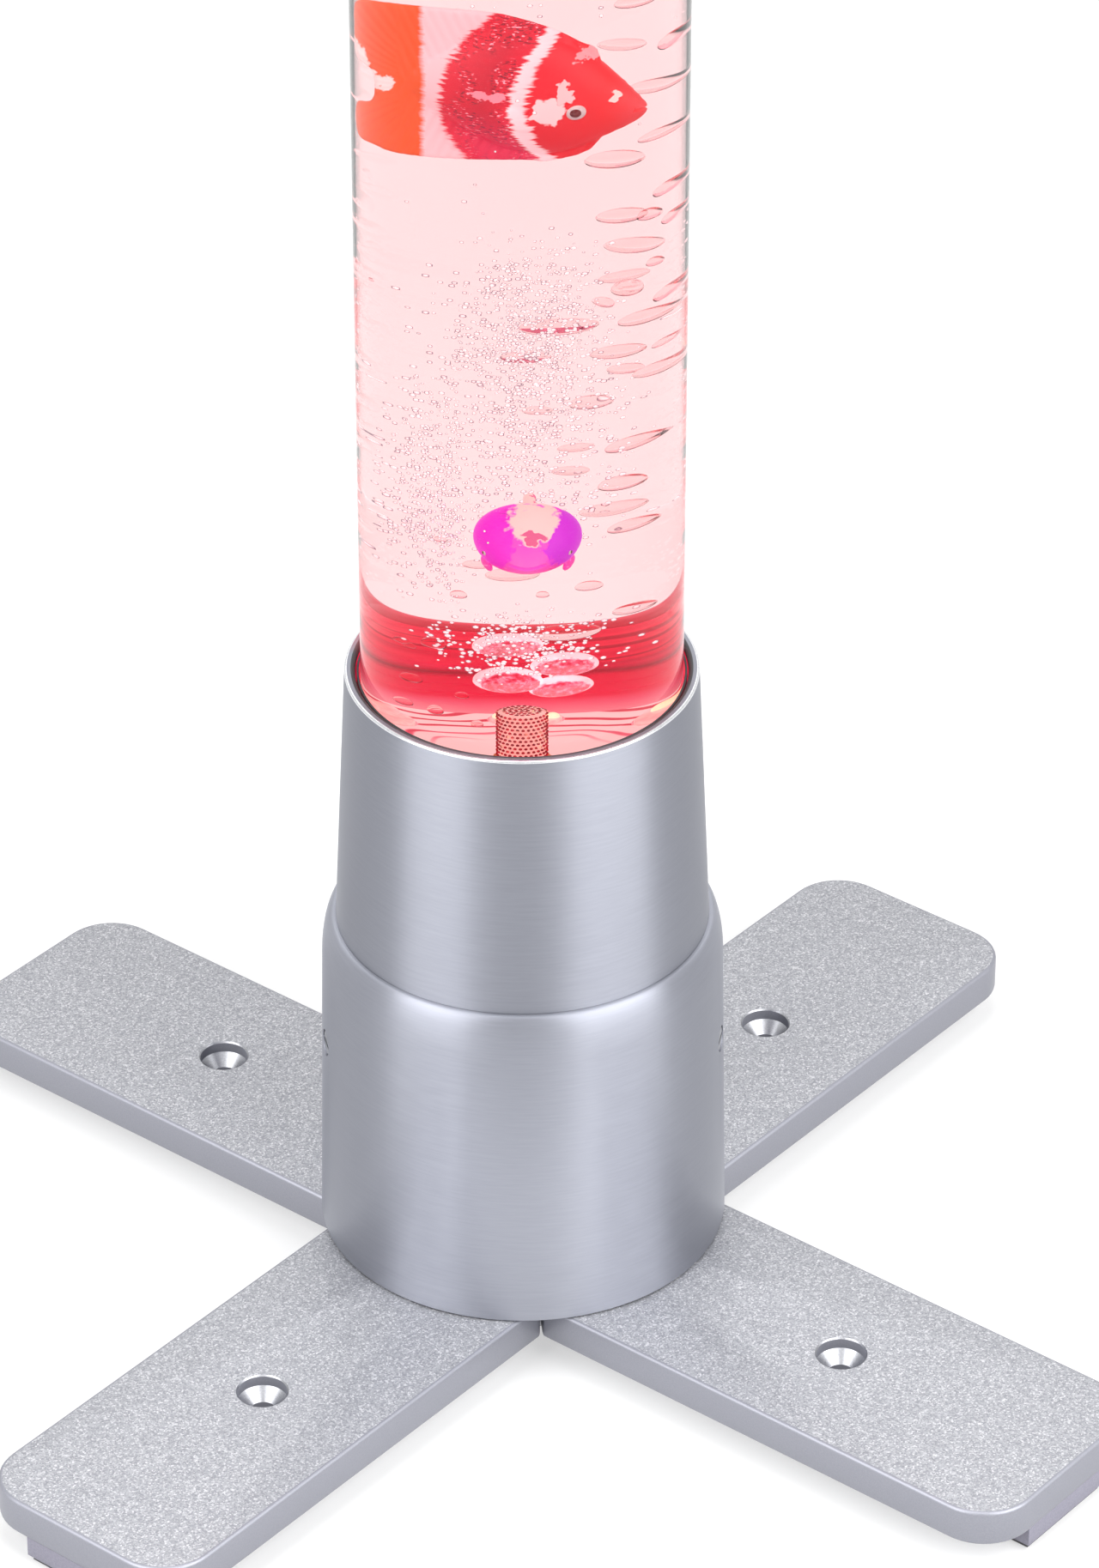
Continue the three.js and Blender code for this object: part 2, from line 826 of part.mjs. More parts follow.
function addLights() {
  const boardRadius = bulkheadBore - fit.gap;
  const chipTop = lightBoardTop + lightBoard.chipHeight;
  const chipHeight = lightBoard.chipHeight + lightBoard.thickness / 2;
  const chipMiddle = chipTop - chipHeight / 2;
  const plate = disc(
    boardRadius,
    lightBoardBottom,
    lightBoardTop,
    facets.medium,
    lightBoard.bore,
  );
  const chips = lensPlaces().map(({ angle, x, y }) =>
    block(lightBoard.chipSize, lightBoard.chipSize, chipHeight, 0, 0, chipMiddle)
      .rotateZ(angle)
      .translate(x, y, 0),
  );
  add(lamp, "light_board", joined(plate, ...chips), "circuitGreen");

  const ringBottom = chipTop + fit.gap;
  const ringTop = bulkheadFloor - fit.gap;
  const ring = disc(
    lens.ring + lens.plateHalfWidth,
    ringBottom,
    ringTop,
    facets.medium,
    lens.ring - lens.plateHalfWidth,
  );
  const postTop = tankFloor + lens.proud;
  const postBottom = (ringBottom + ringTop) / 2;
  const posts = lensPlaces().map(({ x, y }) =>
    disc(lens.postRadius, postBottom, postTop, facets.small).translate(x, y, 0),
  );
  const dots = lensPlaces().flatMap(({ angle }) => lensDots(angle, postTop));
  add(lamp, "lens_ring", joined(ring, ...posts, ...dots), "lens");
}

// The little domes of one group, side by side round the ring
function lensDots(angle, level) {
  const dots = [];
  for (let i = 0; i < lens.dotsInGroup; i++) {
    const step = i - (lens.dotsInGroup - 1) / 2;
    const dotAngle = angle + (step * lens.dotSpacing) / lens.ring;
    const profile = dotShares.map(([radiusShare, heightShare]) => [
      lens.dotRadius * radiusShare,
      level + lens.dotHeight * heightShare,
    ]);
    const foot = level - lens.proud / 2;
    const dome = turned(
      [[0, foot], [lens.dotRadius, foot], ...profile, [0, level + lens.dotHeight]],
      facets.tiny,
    );
    dots.push(dome.translate(lens.ring * Math.cos(dotAngle), lens.ring * Math.sin(dotAngle), 0));
  }
  return dots;
}

function addAirInlet() {
  const flangeBottom = tankFloor + fit.gap;
  const flangeTop = flangeBottom + nipple.flangeHeight;
  const stoneTop = tankFloor + stone.height;
  const pipeTop = stoneTop - stone.wellRoof;
  const barbLevel = pipeTail + nipple.barbHeight;
  const pipe = turned(
    [
      [nipple.bore, pipeTail],
      [nipple.tailRadius, pipeTail],
      [nipple.radius, barbLevel],
      [nipple.radius, flangeBottom],
      [nipple.flangeRadius, flangeBottom],
      [nipple.flangeRadius, flangeTop],
      [nipple.radius, flangeTop],
      [nipple.radius, pipeTop],
      [nipple.bore, pipeTop],
    ],
    facets.small,
  );
  add(lamp, "air_nipple", pipe, "brass");
  const well = nipple.radius + fit.gap;
  const stoneBottom = flangeTop + fit.gap;
  const wellRoof = pipeTop + fit.gap;
  const body = turned(
    [
      [0, wellRoof],
      [well, wellRoof],
      [well, stoneBottom],
      [stone.radius, stoneBottom],
      [stone.radius, stoneTop - stone.crown],
      [stone.radius - stone.crown, stoneTop],
      [0, stoneTop],
    ],
    facets.medium,
  );
  add(lamp, "air_stone", body, "ceramic");
}

function addPump() {
  const { length, width, height, wall } = pump;
  const middle = pumpBottom + height / 2;
  const outside = block(length, width, height, 0, 0, middle);
  const inside = block(length - 2 * wall, width - 2 * wall, height, 0, 0, middle + wall);
  const shelfLength = wall / 2 + core.inset + core.spine;
  const shelfHeight = wall / 2 + core.lift;
  const shelf = block(
    shelfLength,
    core.width,
    shelfHeight,
    pumpLeft - wall / 2 + shelfLength / 2,
    0,
    pumpFloor + core.lift - shelfHeight / 2,
  );
  add(lamp, "pump_case", joined(cut(outside, inside), shelf), "blackPlastic");
  const mountMiddle = chassisTop + fit.gap + pump.mountHeight / 2;
  for (const [name, side] of Object.entries({ left: -1, right: 1 })) {
    const mount = block(pump.mountLength, pump.mountWidth, pump.mountHeight, 0, 0, 0);
    const mesh = add(lamp, `pump_mount_${name}`, mount, "rubber");
    mesh.position.set(side * pump.mountReach, 0, mountMiddle);
  }
  addMagnet();
  addArm();
  addBellows();
}

// Laminated core with three limbs and the coil round the middle one
function addMagnet() {
  const { length, width, height, limb, spine } = core;
  const start = pumpLeft + core.inset;
  const windowStart = start + spine;
  const limbGap = (width - 3 * limb) / 2;
  const stack = block(length, width, height, start + length / 2, 0, 0);
  const windows = [-1, 1].map((side) =>
    block(
      length,
      limbGap,
      height + fit.overrun,
      windowStart + length / 2,
      (side * (limb + limbGap)) / 2,
      0,
    ),
  );
  add(lamp, "pump_core", cut(stack, ...windows), "steel").position.z = pumpMiddle;
  const coilMiddle = windowStart + fit.gap + coil.length / 2;
  const holeWidth = limb + 2 * fit.gap;
  const holeHeight = height + 2 * fit.gap;
  const coilWidth = limb + 2 * limbGap - 2 * fit.gap;
  const coilHeight = holeHeight + 2 * coil.wall;
  const winding = cut(
    block(coil.length, coilWidth, coilHeight, coilMiddle, 0, 0),
    block(coil.length + fit.overrun, holeWidth, holeHeight, coilMiddle, 0, 0),
  );
  add(lamp, "pump_coil", winding, "copper").position.z = pumpMiddle;
}

// Arm that the coil shakes: a bar with a wider eye on the pivot pin, and a magnet on its face
function addArm() {
  const eyeY = -pump.width / 2 + pump.wall + 2 * arm.pivotInset;
  const armFrom = eyeY - arm.pivotInset;
  const bar = block(arm.thickness, arm.length, arm.height, 0, armFrom + arm.length / 2, 0);
  const eye = disc(arm.pivotInset, -arm.height / 2, arm.height / 2, facets.small);
  eye.translate(0, eyeY, 0);
  const hole = disc(arm.pinRadius + fit.gap, -arm.height, arm.height, facets.small);
  hole.translate(0, eyeY, 0);
  const armMesh = add(lamp, "pump_arm", cut(joined(bar, eye), hole), "whitePlastic");
  armMesh.position.set(armMiddle, 0, pumpMiddle);
  const pin = disc(arm.pinRadius, pumpFloor + fit.gap, pumpMiddle + arm.pinRise, facets.small);
  add(lamp, "arm_pivot_pin", pin, "steel").position.set(armMiddle, eyeY, 0);
  const magnetY = armFrom + arm.length - arm.magnetInset - arm.magnetLength / 2;
  const magnet = block(arm.magnetThickness, arm.magnetLength, arm.height, 0, 0, 0);
  const magnetMesh = add(lamp, "arm_magnet", magnet, "steel");
  magnetMesh.position.set(magnetStart + arm.magnetThickness / 2, magnetY, pumpMiddle);
}

// Rubber bellows that the arm squeezes against the valve box
function addBellows() {
  const start = armMiddle + arm.thickness / 2 + bellows.gap;
  const body = turned(
    [
      [0, 0],
      [bellows.waist, 0],
      [bellows.radius, bellows.height / 2],
      [bellows.radius, bellows.height],
      [0, bellows.height],
    ],
    facets.medium,
  ).rotateY(Math.PI / 2);
  add(lamp, "pump_bellows", body, "rubber").position.set(start, 0, pumpMiddle);

  const { length, width, height, nozzleRadius, nozzleHeight, nozzleBore } = valveBox;
  const middleX = start + bellows.height + fit.gap + length / 2;
  const bottom = pumpFloor + fit.gap;
  const top = bottom + height;
  const nozzleTop = top + nozzleHeight;
  const nozzle = disc(nozzleRadius, top - fit.overrun, nozzleTop, facets.small);
  const airWay = disc(nozzleBore, top - nozzleHeight, nozzleTop + fit.overrun, facets.small);
  const box = block(length, width, height, middleX, 0, bottom + height / 2);
  const boxBody = joined(box, nozzle.translate(middleX, 0, 0));
  add(lamp, "pump_valve_box", cut(boxBody, airWay.translate(middleX, 0, 0)), "blackPlastic");
  addAirLine(new THREE.Vector3(middleX, 0, top + fit.gap), nozzleTop);
}

// Silicone hose from the pump to the check valve, and from there to the tube's air inlet
function addAirLine(outlet, nozzleTop) {
  const centre = new THREE.Vector3(...checkValve.centre);
  const half = checkValve.length / 2;
  const end = half + checkValve.spigot;
  const valve = turned(
    [
      [0, -end],
      [valveBox.nozzleRadius, -end],
      [valveBox.nozzleRadius, -half],
      [checkValve.radius - checkValve.chamfer, -half],
      [checkValve.radius, checkValve.chamfer - half],
      [checkValve.radius, half - checkValve.chamfer],
      [checkValve.radius - checkValve.chamfer, half],
      [valveBox.nozzleRadius, half],
      [valveBox.nozzleRadius, end],
      [0, end],
    ],
    facets.small,
  );
  add(lamp, "check_valve", valve, "whitePlastic").position.copy(centre);

  const lowEnd = new THREE.Vector3(centre.x, centre.y, centre.z - half - fit.gap);
  const lowSockets = [
    socketCut(outlet, nozzleTop + fit.gap),
    socketCut(lowEnd, centre.z - end - fit.gap),
  ];
  const low = cut(hoseBetween(outlet, lowEnd, valveBox.nozzleHeight), ...lowSockets);
  add(lamp, "air_hose_lower", low, "silicone");

  const highStart = new THREE.Vector3(centre.x, centre.y, centre.z + half + fit.gap);
  const highEnd = new THREE.Vector3(0, 0, lightBoardBottom - fit.gap);
  const highSockets = [
    socketCut(highStart, centre.z + end + fit.gap),
    socketCut(highEnd, pipeTail - fit.gap),
  ];
  const high = cut(hoseBetween(highStart, highEnd, nipple.tail), ...highSockets);
  add(lamp, "air_hose_upper", high, "silicone");
}

// Hose that leaves upwards and arrives upwards, straight past its spigots and bent once each way between
function hoseBetween(start, end, spigot) {
  const straight = new THREE.Vector3(0, 0, spigot + hose.straight);
  const bendStart = start.clone().add(straight);
  const bendEnd = end.clone().sub(straight);
  const pull = new THREE.Vector3(0, 0, (bendEnd.z - bendStart.z) * hose.pullShare);
  const bend = new THREE.CubicBezierCurve3(
    bendStart,
    bendStart.clone().add(pull),
    bendEnd.clone().sub(pull),
    bendEnd,
  );
  const path = new THREE.CurvePath();
  path.add(new THREE.LineCurve3(start, bendStart));
  path.add(bend);
  path.add(new THREE.LineCurve3(bendEnd, end));
  return rodAlong(path, socketRadius + hose.wall, hose.steps, hose.boreRadius);
}

// Room for a spigot in a hose, from past the hose's end to a level inside it
function socketCut(end, inside) {
  const past = end.z + Math.sign(end.z - inside) * fit.overrun;
  const socket = disc(socketRadius, Math.min(past, inside), Math.max(past, inside), facets.small);
  return socket.translate(end.x, end.y, 0);
}

function addControls() {
  const plate = block(board.width, board.thickness, board.height, 0, 0, 0);
  const plateMesh = add(lamp, "control_board", plate, "circuitGreen");
  const boardMiddle = board.reach + board.thickness / 2;
  plateMesh.position.set(0, boardMiddle, boardBottom + board.height / 2);
  addInlet();
  addButton();
  addWires();
}

function addInlet() {
  const flangeStart = housingRadiusAt(inletLevel) + fit.gap;
  const flangeEnd = flangeStart + inlet.flangeHeight;
  const boreEnd = flangeEnd - inlet.boreDepth;
  const barrel = joined(
    rodAlongY(inlet.flangeRadius, flangeStart, flangeEnd, facets.medium),
    rodAlongY(inlet.barrelRadius, boardFace + fit.gap, flangeStart + fit.gap, facets.medium),
  );
  const hollow = cut(
    rodAlongY(inlet.boreRadius, boreEnd, flangeEnd + fit.overrun, facets.small),
    rodAlongY(inlet.pinRadius, boreEnd - fit.overrun, flangeStart, facets.tiny),
  );
  add(lamp, "power_inlet", cut(barrel, hollow), "blackPlastic").position.z = inletLevel;
}

function addButton() {
  const face = housingRadiusAt(buttonLevel) + button.proud;
  const wallInside = housingRadiusAt(buttonLevel) - housing.wall;
  const shoulderTop = wallInside - button.shoulderSetback;
  const shoulderBottom = shoulderTop - button.shoulderLength;
  const switchFace = boardFace + fit.gap + microSwitch.depth;
  const plungerFace = switchFace + microSwitch.plungerLength;
  const stemEnd = plungerFace + button.travel + fit.gap;
  const body = turned(
    [
      [0, stemEnd],
      [button.stemRadius, stemEnd],
      [button.stemRadius, shoulderBottom],
      [button.shoulderRadius, shoulderBottom],
      [button.shoulderRadius, shoulderTop],
      [button.radius, shoulderTop],
      [button.radius, face - button.crown],
      [button.radius - button.crown, face],
      [0, face],
    ],
    facets.medium,
  ).rotateX(-Math.PI / 2);
  add(lamp, "mode_button", body, "whitePlastic").position.z = buttonLevel;
  const { size, depth, plungerRadius } = microSwitch;
  const switchBody = joined(
    block(size, depth, size, 0, switchFace - depth / 2, 0),
    rodAlongY(plungerRadius, switchFace - depth / 2, plungerFace, facets.small),
  );
  add(lamp, "mode_switch", switchBody, "blackPlastic").position.z = buttonLevel;
}

// Wires from the control board to the light board and to the pump's coil
function addWires() {
  const { radius, steps, sideReach, rise, drop } = wire;
  const boardTop = boardBottom + board.height;
  const start = boardTop + radius + fit.gap;
  const middle = board.reach + board.thickness / 2;
  const lightWire = [
    new THREE.Vector3(-sideReach, middle, boardTop + fit.gap),
    new THREE.Vector3(-sideReach, middle, start + rise),
    new THREE.Vector3(-2 * sideReach, sideReach, lightBoardBottom - drop),
    new THREE.Vector3(-2 * sideReach, sideReach, lightBoardBottom - fit.gap),
  ];
  add(lamp, "light_wire", rodThrough(lightWire, radius, steps), "whitePlastic");
  const coilX = pumpLeft + core.inset + core.spine + fit.gap + coil.length / 2;
  const coilTop = pumpMiddle + core.height / 2 + fit.gap + coil.wall;
  const overCase = pumpBottom + pump.height + 2 * radius;
  const pumpWire = [
    new THREE.Vector3(coilX, 0, coilTop + fit.gap),
    new THREE.Vector3(coilX, 0, overCase),
    new THREE.Vector3(coilX + sideReach, pump.width / 2, overCase + rise),
    new THREE.Vector3(-sideReach, board.reach - drop / 2, overCase - radius),
    new THREE.Vector3(-sideReach, board.reach - fit.gap, overCase - radius),
  ];
  add(lamp, "pump_wire", rodThrough(pumpWire, radius, steps), "blackPlastic");
}

// Cap that slips over the tube, with vents for the spent air
function addCap() {
  const bottom = tubeTop - cap.overlap;
  const top = bottom + cap.height;
  const inner = tube.radius + fit.running;
  const sealRadius = inner + capSeal.thickness;
  const sealBottom = bottom + capSeal.inset;
  const sealTop = sealBottom + capSeal.height;
  const roof = top - cap.topThickness;
  const stop = tubeTop + fit.gap;
  const body = turned(
    [
      [0, roof],
      [tubeBore, roof],
      [tubeBore, stop],
      [inner, stop],
      [inner, sealTop + fit.gap],
      [sealRadius + fit.gap, sealTop + fit.gap],
      [sealRadius + fit.gap, sealBottom - fit.gap],
      [inner, sealBottom - fit.gap],
      [inner, bottom],
      [cap.radius, bottom],
      [cap.topRadius, top - cap.edge],
      [cap.topRadius - cap.edge, top],
      [cap.dishRadius, top],
      [cap.dishRadius - cap.dishDepth, top - cap.dishDepth],
      [0, top - cap.dishDepth],
    ],
    facets.large,
  );
  const vents = [];
  for (let i = 0; i < cap.ventCount; i++) {
    const angle = (2 * Math.PI * i) / cap.ventCount;
    const vent = disc(cap.ventRadius, roof - fit.overrun, top + fit.overrun, facets.small);
    vents.push(vent.translate(cap.ventRing * Math.cos(angle), cap.ventRing * Math.sin(angle), 0));
  }
  add(lamp, "cap_shell", cut(body, ...vents), "satinSilver");
  const seal = disc(sealRadius, sealBottom, sealTop, facets.large, tube.radius + fit.gap);
  add(lamp, "cap_seal", seal, "rubber");
}

// Fish body as elliptical sections from tail root to nose, swimming along +X
function fishBody(size) {
  const half = { wide: size.thickness / 2, tall: size.height / 2 };
  const positions = [];
  for (const { along, middle, tall, wide } of bodyShares) {
    for (let i = 0; i < bodySides; i++) {
      const angle = (2 * Math.PI * i) / bodySides;
      positions.push(
        size.length * along,
        half.wide * wide * Math.cos(angle),
        size.height * middle + half.tall * tall * Math.sin(angle),
      );
    }
  }
  const tailRoot = positions.length / 3;
  const nose = tailRoot + 1;
  for (const { along, middle } of [tailRootShares, noseShares]) {
    positions.push(size.length * along, 0, size.height * middle);
  }
  const index = [];
  const last = tailRoot - bodySides;
  for (let i = 0; i < bodySides; i++) {
    const next = (i + 1) % bodySides;
    index.push(tailRoot, next, i);
    index.push(nose, last + i, last + next);
    for (let ring = 0; ring < last; ring += bodySides) {
      const [a, b] = [ring + i, ring + next];
      index.push(a, b, a + bodySides, b, b + bodySides, a + bodySides);
    }
  }
  const geometry = new THREE.BufferGeometry();
  geometry.setAttribute("position", new THREE.Float32BufferAttribute(positions, 3));
  geometry.setIndex(index);
  return geometry;
}

// Fins and tail as one flat plate in the fish's middle plane
function fishFins(size) {
  const finHeight = size.height * size.finShare;
  const shape = new THREE.Shape(
    finShares.map(([x, z]) => new THREE.Vector2(size.length * x, finHeight * z)),
  );
  return new THREE.ExtrudeGeometry(shape, { depth: finThickness, bevelEnabled: false })
    .translate(0, 0, -finThickness / 2)
    .rotateX(Math.PI / 2);
}

function addFish() {
  for (const [name, size] of Object.entries(fishKinds)) {
    const mesh = add(lamp, name, joined(fishBody(size), fishFins(size)), name);
    mesh.position.set(size.side, size.depth, size.level);
    mesh.rotation.z = THREE.MathUtils.degToRad(size.yaw);
  }
}

addLegs();
addHousing();
addSideScrews();
addChassis();
addCollar();
addTank();
addLights();
addAirInlet();
addPump();
addControls();
addCap();
addFish();

export default lamp;
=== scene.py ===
import math
import random

import bmesh
import bpy
from mathutils import Matrix, Vector


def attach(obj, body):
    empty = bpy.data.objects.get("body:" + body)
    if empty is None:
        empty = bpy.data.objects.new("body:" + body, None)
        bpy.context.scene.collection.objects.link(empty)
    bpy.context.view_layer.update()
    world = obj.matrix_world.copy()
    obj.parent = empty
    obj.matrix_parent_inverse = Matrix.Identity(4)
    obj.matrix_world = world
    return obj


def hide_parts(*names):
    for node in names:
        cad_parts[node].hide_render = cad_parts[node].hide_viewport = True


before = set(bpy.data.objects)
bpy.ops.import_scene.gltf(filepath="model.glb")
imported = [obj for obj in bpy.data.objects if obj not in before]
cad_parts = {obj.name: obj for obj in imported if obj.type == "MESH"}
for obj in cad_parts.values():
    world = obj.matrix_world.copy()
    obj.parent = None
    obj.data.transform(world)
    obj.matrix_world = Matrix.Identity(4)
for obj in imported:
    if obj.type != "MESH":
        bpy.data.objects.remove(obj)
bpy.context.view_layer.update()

mm = 0.001
scene = bpy.context.scene
scene.view_settings.view_transform = "Standard"
# the wall, the water and the bubbles are many clear layers, one behind the other
scene.cycles.max_bounces = 24
scene.cycles.transmission_bounces = 24
scene.cycles.transparent_max_bounces = 32


# Small tools for selecting, modelling and finishing

def clearSelection():
    if bpy.context.object and bpy.context.object.mode != "OBJECT":
        bpy.ops.object.mode_set(mode="OBJECT")
    bpy.ops.object.select_all(action="DESELECT")


def useAlone(obj):
    clearSelection()
    bpy.context.view_layer.objects.active = obj
    obj.select_set(True)


def modify(obj, kind, **settings):
    modifier = obj.modifiers.new(kind, kind)
    for key, value in settings.items():
        setattr(modifier, key, value)
    useAlone(obj)
    bpy.ops.object.modifier_apply(modifier=modifier.name)


def placeInMesh(obj, turn=(0, 0, 0), move=(0, 0, 0)):
    useAlone(obj)
    obj.rotation_euler = turn
    obj.location = Vector(move) * mm
    bpy.ops.object.transform_apply(location=True, rotation=True, scale=True)


def pickFaces(obj, test):
    # leaves the piece in edit mode with the faces that pass the test selected
    useAlone(obj)
    bpy.ops.object.mode_set(mode="EDIT")
    bpy.ops.mesh.select_mode(type="FACE")
    bpy.ops.mesh.select_all(action="DESELECT")
    bpy.ops.object.mode_set(mode="OBJECT")
    for face in obj.data.polygons:
        face.select = test(face)
    bpy.ops.object.mode_set(mode="EDIT")


def drawChain(points):
    # a point that is extruded from place to place, in the XY or XZ plane
    clearSelection()
    bpy.ops.mesh.primitive_plane_add(size=mm, enter_editmode=True)
    bpy.ops.mesh.select_mode(type="VERT")
    bpy.ops.mesh.merge(type="CENTER")
    here = Vector(points[0]) * mm
    bpy.ops.transform.translate(value=here)
    for point in points[1:]:
        there = Vector(point) * mm
        bpy.ops.mesh.extrude_vertices_move(TRANSFORM_OT_translate={"value": there - here})
        here = there
    bpy.ops.mesh.select_all(action="SELECT")


def closeMesh(name):
    # faces outward, out of edit mode
    bpy.ops.mesh.select_all(action="SELECT")
    bpy.ops.mesh.normals_make_consistent(inside=False)
    bpy.ops.object.mode_set(mode="OBJECT")
    obj = bpy.context.object
    obj.name = name
    return obj


def turned(name, profile, sides=128, smooth=32):
    # a profile of (radius, height) points, spun round the Z axis
    drawChain([(radius, 0, height) for radius, height in profile])
    bpy.ops.mesh.spin(steps=sides, angle=2 * math.pi, center=(0, 0, 0), axis=(0, 0, 1))
    bpy.ops.mesh.select_all(action="SELECT")
    bpy.ops.mesh.remove_doubles(threshold=0.003 * mm)
    obj = closeMesh(name)
    bpy.ops.object.shade_smooth_by_angle(angle=math.radians(smooth))
    return obj


def plate(name, outline, bottom, top):
    # a closed outline in the XY plane, filled and raised
    drawChain([(x, y, bottom) for x, y in outline + outline[:1]])
    bpy.ops.mesh.remove_doubles(threshold=0.003 * mm)
    bpy.ops.mesh.edge_face_add()
    bpy.ops.mesh.extrude_region_move(TRANSFORM_OT_translate={"value": (0, 0, (top - bottom) * mm)})
    return closeMesh(name)


def soften(obj, width, segments=2, angle=32):
    limit = math.radians(angle)
    modify(obj, "BEVEL", width=width * mm, segments=segments, limit_method="ANGLE", angle_limit=limit)
    bpy.ops.object.shade_smooth_by_angle(angle=limit)


def cutOut(obj, *cutters):
    for cutter in cutters:
        modify(obj, "BOOLEAN", operation="DIFFERENCE", solver="EXACT", object=cutter)
        bpy.data.objects.remove(cutter, do_unlink=True)
    useAlone(obj)
    bpy.ops.object.shade_smooth_by_angle(angle=math.radians(32))


def polar(reach, turn, level=0):
    return Vector((reach * math.cos(turn), reach * math.sin(turn), level))


def sizeAndPlace(name, size, place, turn):
    # for a new primitive
    part = bpy.context.object
    part.name = name
    part.scale = size
    bpy.ops.object.transform_apply(location=False, rotation=False, scale=True)
    placeInMesh(part, turn, place)
    return part


def makeRod(radius, depth, place, turn=(0, 0, 0), sides=48):
    # a round rod to cut a hole with, upright unless it is turned
    clearSelection()
    bpy.ops.mesh.primitive_cylinder_add(vertices=sides, radius=radius * mm, depth=depth * mm)
    return sizeAndPlace("rod", (1, 1, 1), place, turn)


def rodOut(radius, start, end, angle, level, sides=64):
    # a rod that points away from the axis
    turn = math.radians(angle)
    return makeRod(radius, end - start, polar((start + end) / 2, turn, level), (0, math.pi / 2, turn), sides)


def makeBox(size, place=(0, 0, 0), turn=(0, 0, 0)):
    clearSelection()
    bpy.ops.mesh.primitive_cube_add(size=mm)
    return sizeAndPlace("box", size, place, turn)


def shadeSmooth(obj):
    useAlone(obj)
    bpy.ops.object.shade_smooth()


def copyPiece(obj, name):
    twin = obj.copy()
    twin.data = obj.data.copy()
    twin.name = name
    scene.collection.objects.link(twin)
    return twin


def joinPieces(first, others):
    useAlone(first)
    for other in others:
        other.select_set(True)
    bpy.ops.object.join()
    return bpy.context.object


def quarter(centre, radius, start, end, steps=5):
    # points of a round corner in a profile, angles in degrees from the outward direction
    turns = [math.radians(start + (end - start) * step / steps) for step in range(steps + 1)]
    return [(centre[0] + radius * math.cos(turn), centre[1] + radius * math.sin(turn)) for turn in turns]


def smoothLoop(points, steps=4):
    # more points on a closed outline, on soft curves through the ones given
    count = len(points)
    result = []
    for i in range(count):
        a, b, c, d = (Vector(points[(i + k - 1) % count]) for k in range(4))
        for step in range(steps):
            t = step / steps
            p = 2 * b + (c - a) * t + (2 * a - 5 * b + 4 * c - d) * t * t + (3 * b - a - 3 * c + d) * t ** 3
            result.append(tuple(p / 2))
    return result


def meshPiece(shape, name):
    # a piece from a bmesh of round grains or bubbles
    mesh = bpy.data.meshes.new(name)
    shape.to_mesh(mesh)
    shape.free()
    mesh.shade_smooth()
    piece = bpy.data.objects.new(name, mesh)
    scene.collection.objects.link(piece)
    return piece


def dress(obj, *materials):
    obj.data.materials.clear()
    for material in materials:
        obj.data.materials.append(material)
    return obj


def paintFaces(obj, index, test=lambda face: True):
    for face in obj.data.polygons:
        if test(face):
            face.material_index = index


def ringTest(inner, outer, low, high):
    # for faces between two distances from the axis and two levels
    return lambda face: inner < math.hypot(*face.center.xy) / mm < outer and low < face.center.z / mm < high


def addPiece(obj, body, nodes=()):
    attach(obj, body)
    if nodes:
        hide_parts(*nodes)
    return obj


# Small tools for materials

def hexColor(text):
    parts = [int(text[i:i + 2], 16) / 255 for i in (1, 3, 5)]
    linear = [p / 12.92 if p <= 0.04045 else ((p + 0.055) / 1.055) ** 2.4 for p in parts]
    return (*linear, 1)


def setNode(node, settings=None, links=None):
    # a link starts at a node's first output, unless it comes as a node with the name or number of another
    for key, value in (settings or {}).items():
        if isinstance(key, int) or key in node.inputs:
            node.inputs[key].default_value = value
        else:
            setattr(node, key, value)
    for key, source in (links or {}).items():
        source, output = source if isinstance(source, tuple) else (source, 0)
        node.id_data.links.new(source.outputs[output], node.inputs[key])
    return node


def addNode(tree, kind, settings=None, links=None):
    return setNode(tree.nodes.new("ShaderNode" + kind), settings, links)


def startMaterial(name):
    # place is each point in the object's own metres, for patterns of a real size
    material = bpy.data.materials.new(name)
    material.use_nodes = True
    tree = material.node_tree
    tree.nodes.clear()
    shader = addNode(tree, "BsdfPrincipled")
    addNode(tree, "OutputMaterial", links={"Surface": shader})
    place = (addNode(tree, "TexCoord"), "Object")
    return material, tree, shader, place


def setColors(ramp, stops):
    elements = ramp.color_ramp.elements
    while len(elements) < len(stops):
        elements.new(0.5)
    for element, (place, color) in zip(elements, stops):
        element.position = place
        element.color = hexColor(color)


def grainFinish(name, dark, light, grain, rough, metallic=0, bump=0.2, height=0.02, stretch=(1, 1, 1), turned=0):
    # two close tones in grains of a real size in millimetres, with the same grains in roughness and relief
    material, tree, shader, place = startMaterial(name)
    place = addNode(tree, "Mapping", {"Scale": stretch}, {"Vector": place})
    grains = addNode(
        tree, "TexNoise", {"Scale": 1 / (grain * mm), "Detail": 2.0, "Roughness": 0.6}, {"Vector": place},
    )
    tones = addNode(tree, "ValToRGB", links={"Fac": grains})
    setColors(tones, [(0.32, dark), (0.68, light)])
    roughness = addNode(
        tree, "MapRange", {"From Min": 0.3, "From Max": 0.7, "To Min": rough[0], "To Max": rough[1]},
        {"Value": grains},
    )
    relief = addNode(tree, "Bump", {"Strength": bump, "Distance": height * mm}, {"Height": grains})
    links = {"Base Color": tones, "Roughness": roughness, "Normal": relief}
    setNode(shader, {"Metallic": metallic}, links)
    if turned:
        # fine rings left by the lathe pull each highlight out along the axis
        rings = addNode(tree, "Tangent", {"direction_type": "RADIAL", "axis": "Z"})
        setNode(shader, {"Anisotropic": turned, "Anisotropic Rotation": 0.25}, {"Tangent": rings})
    return material


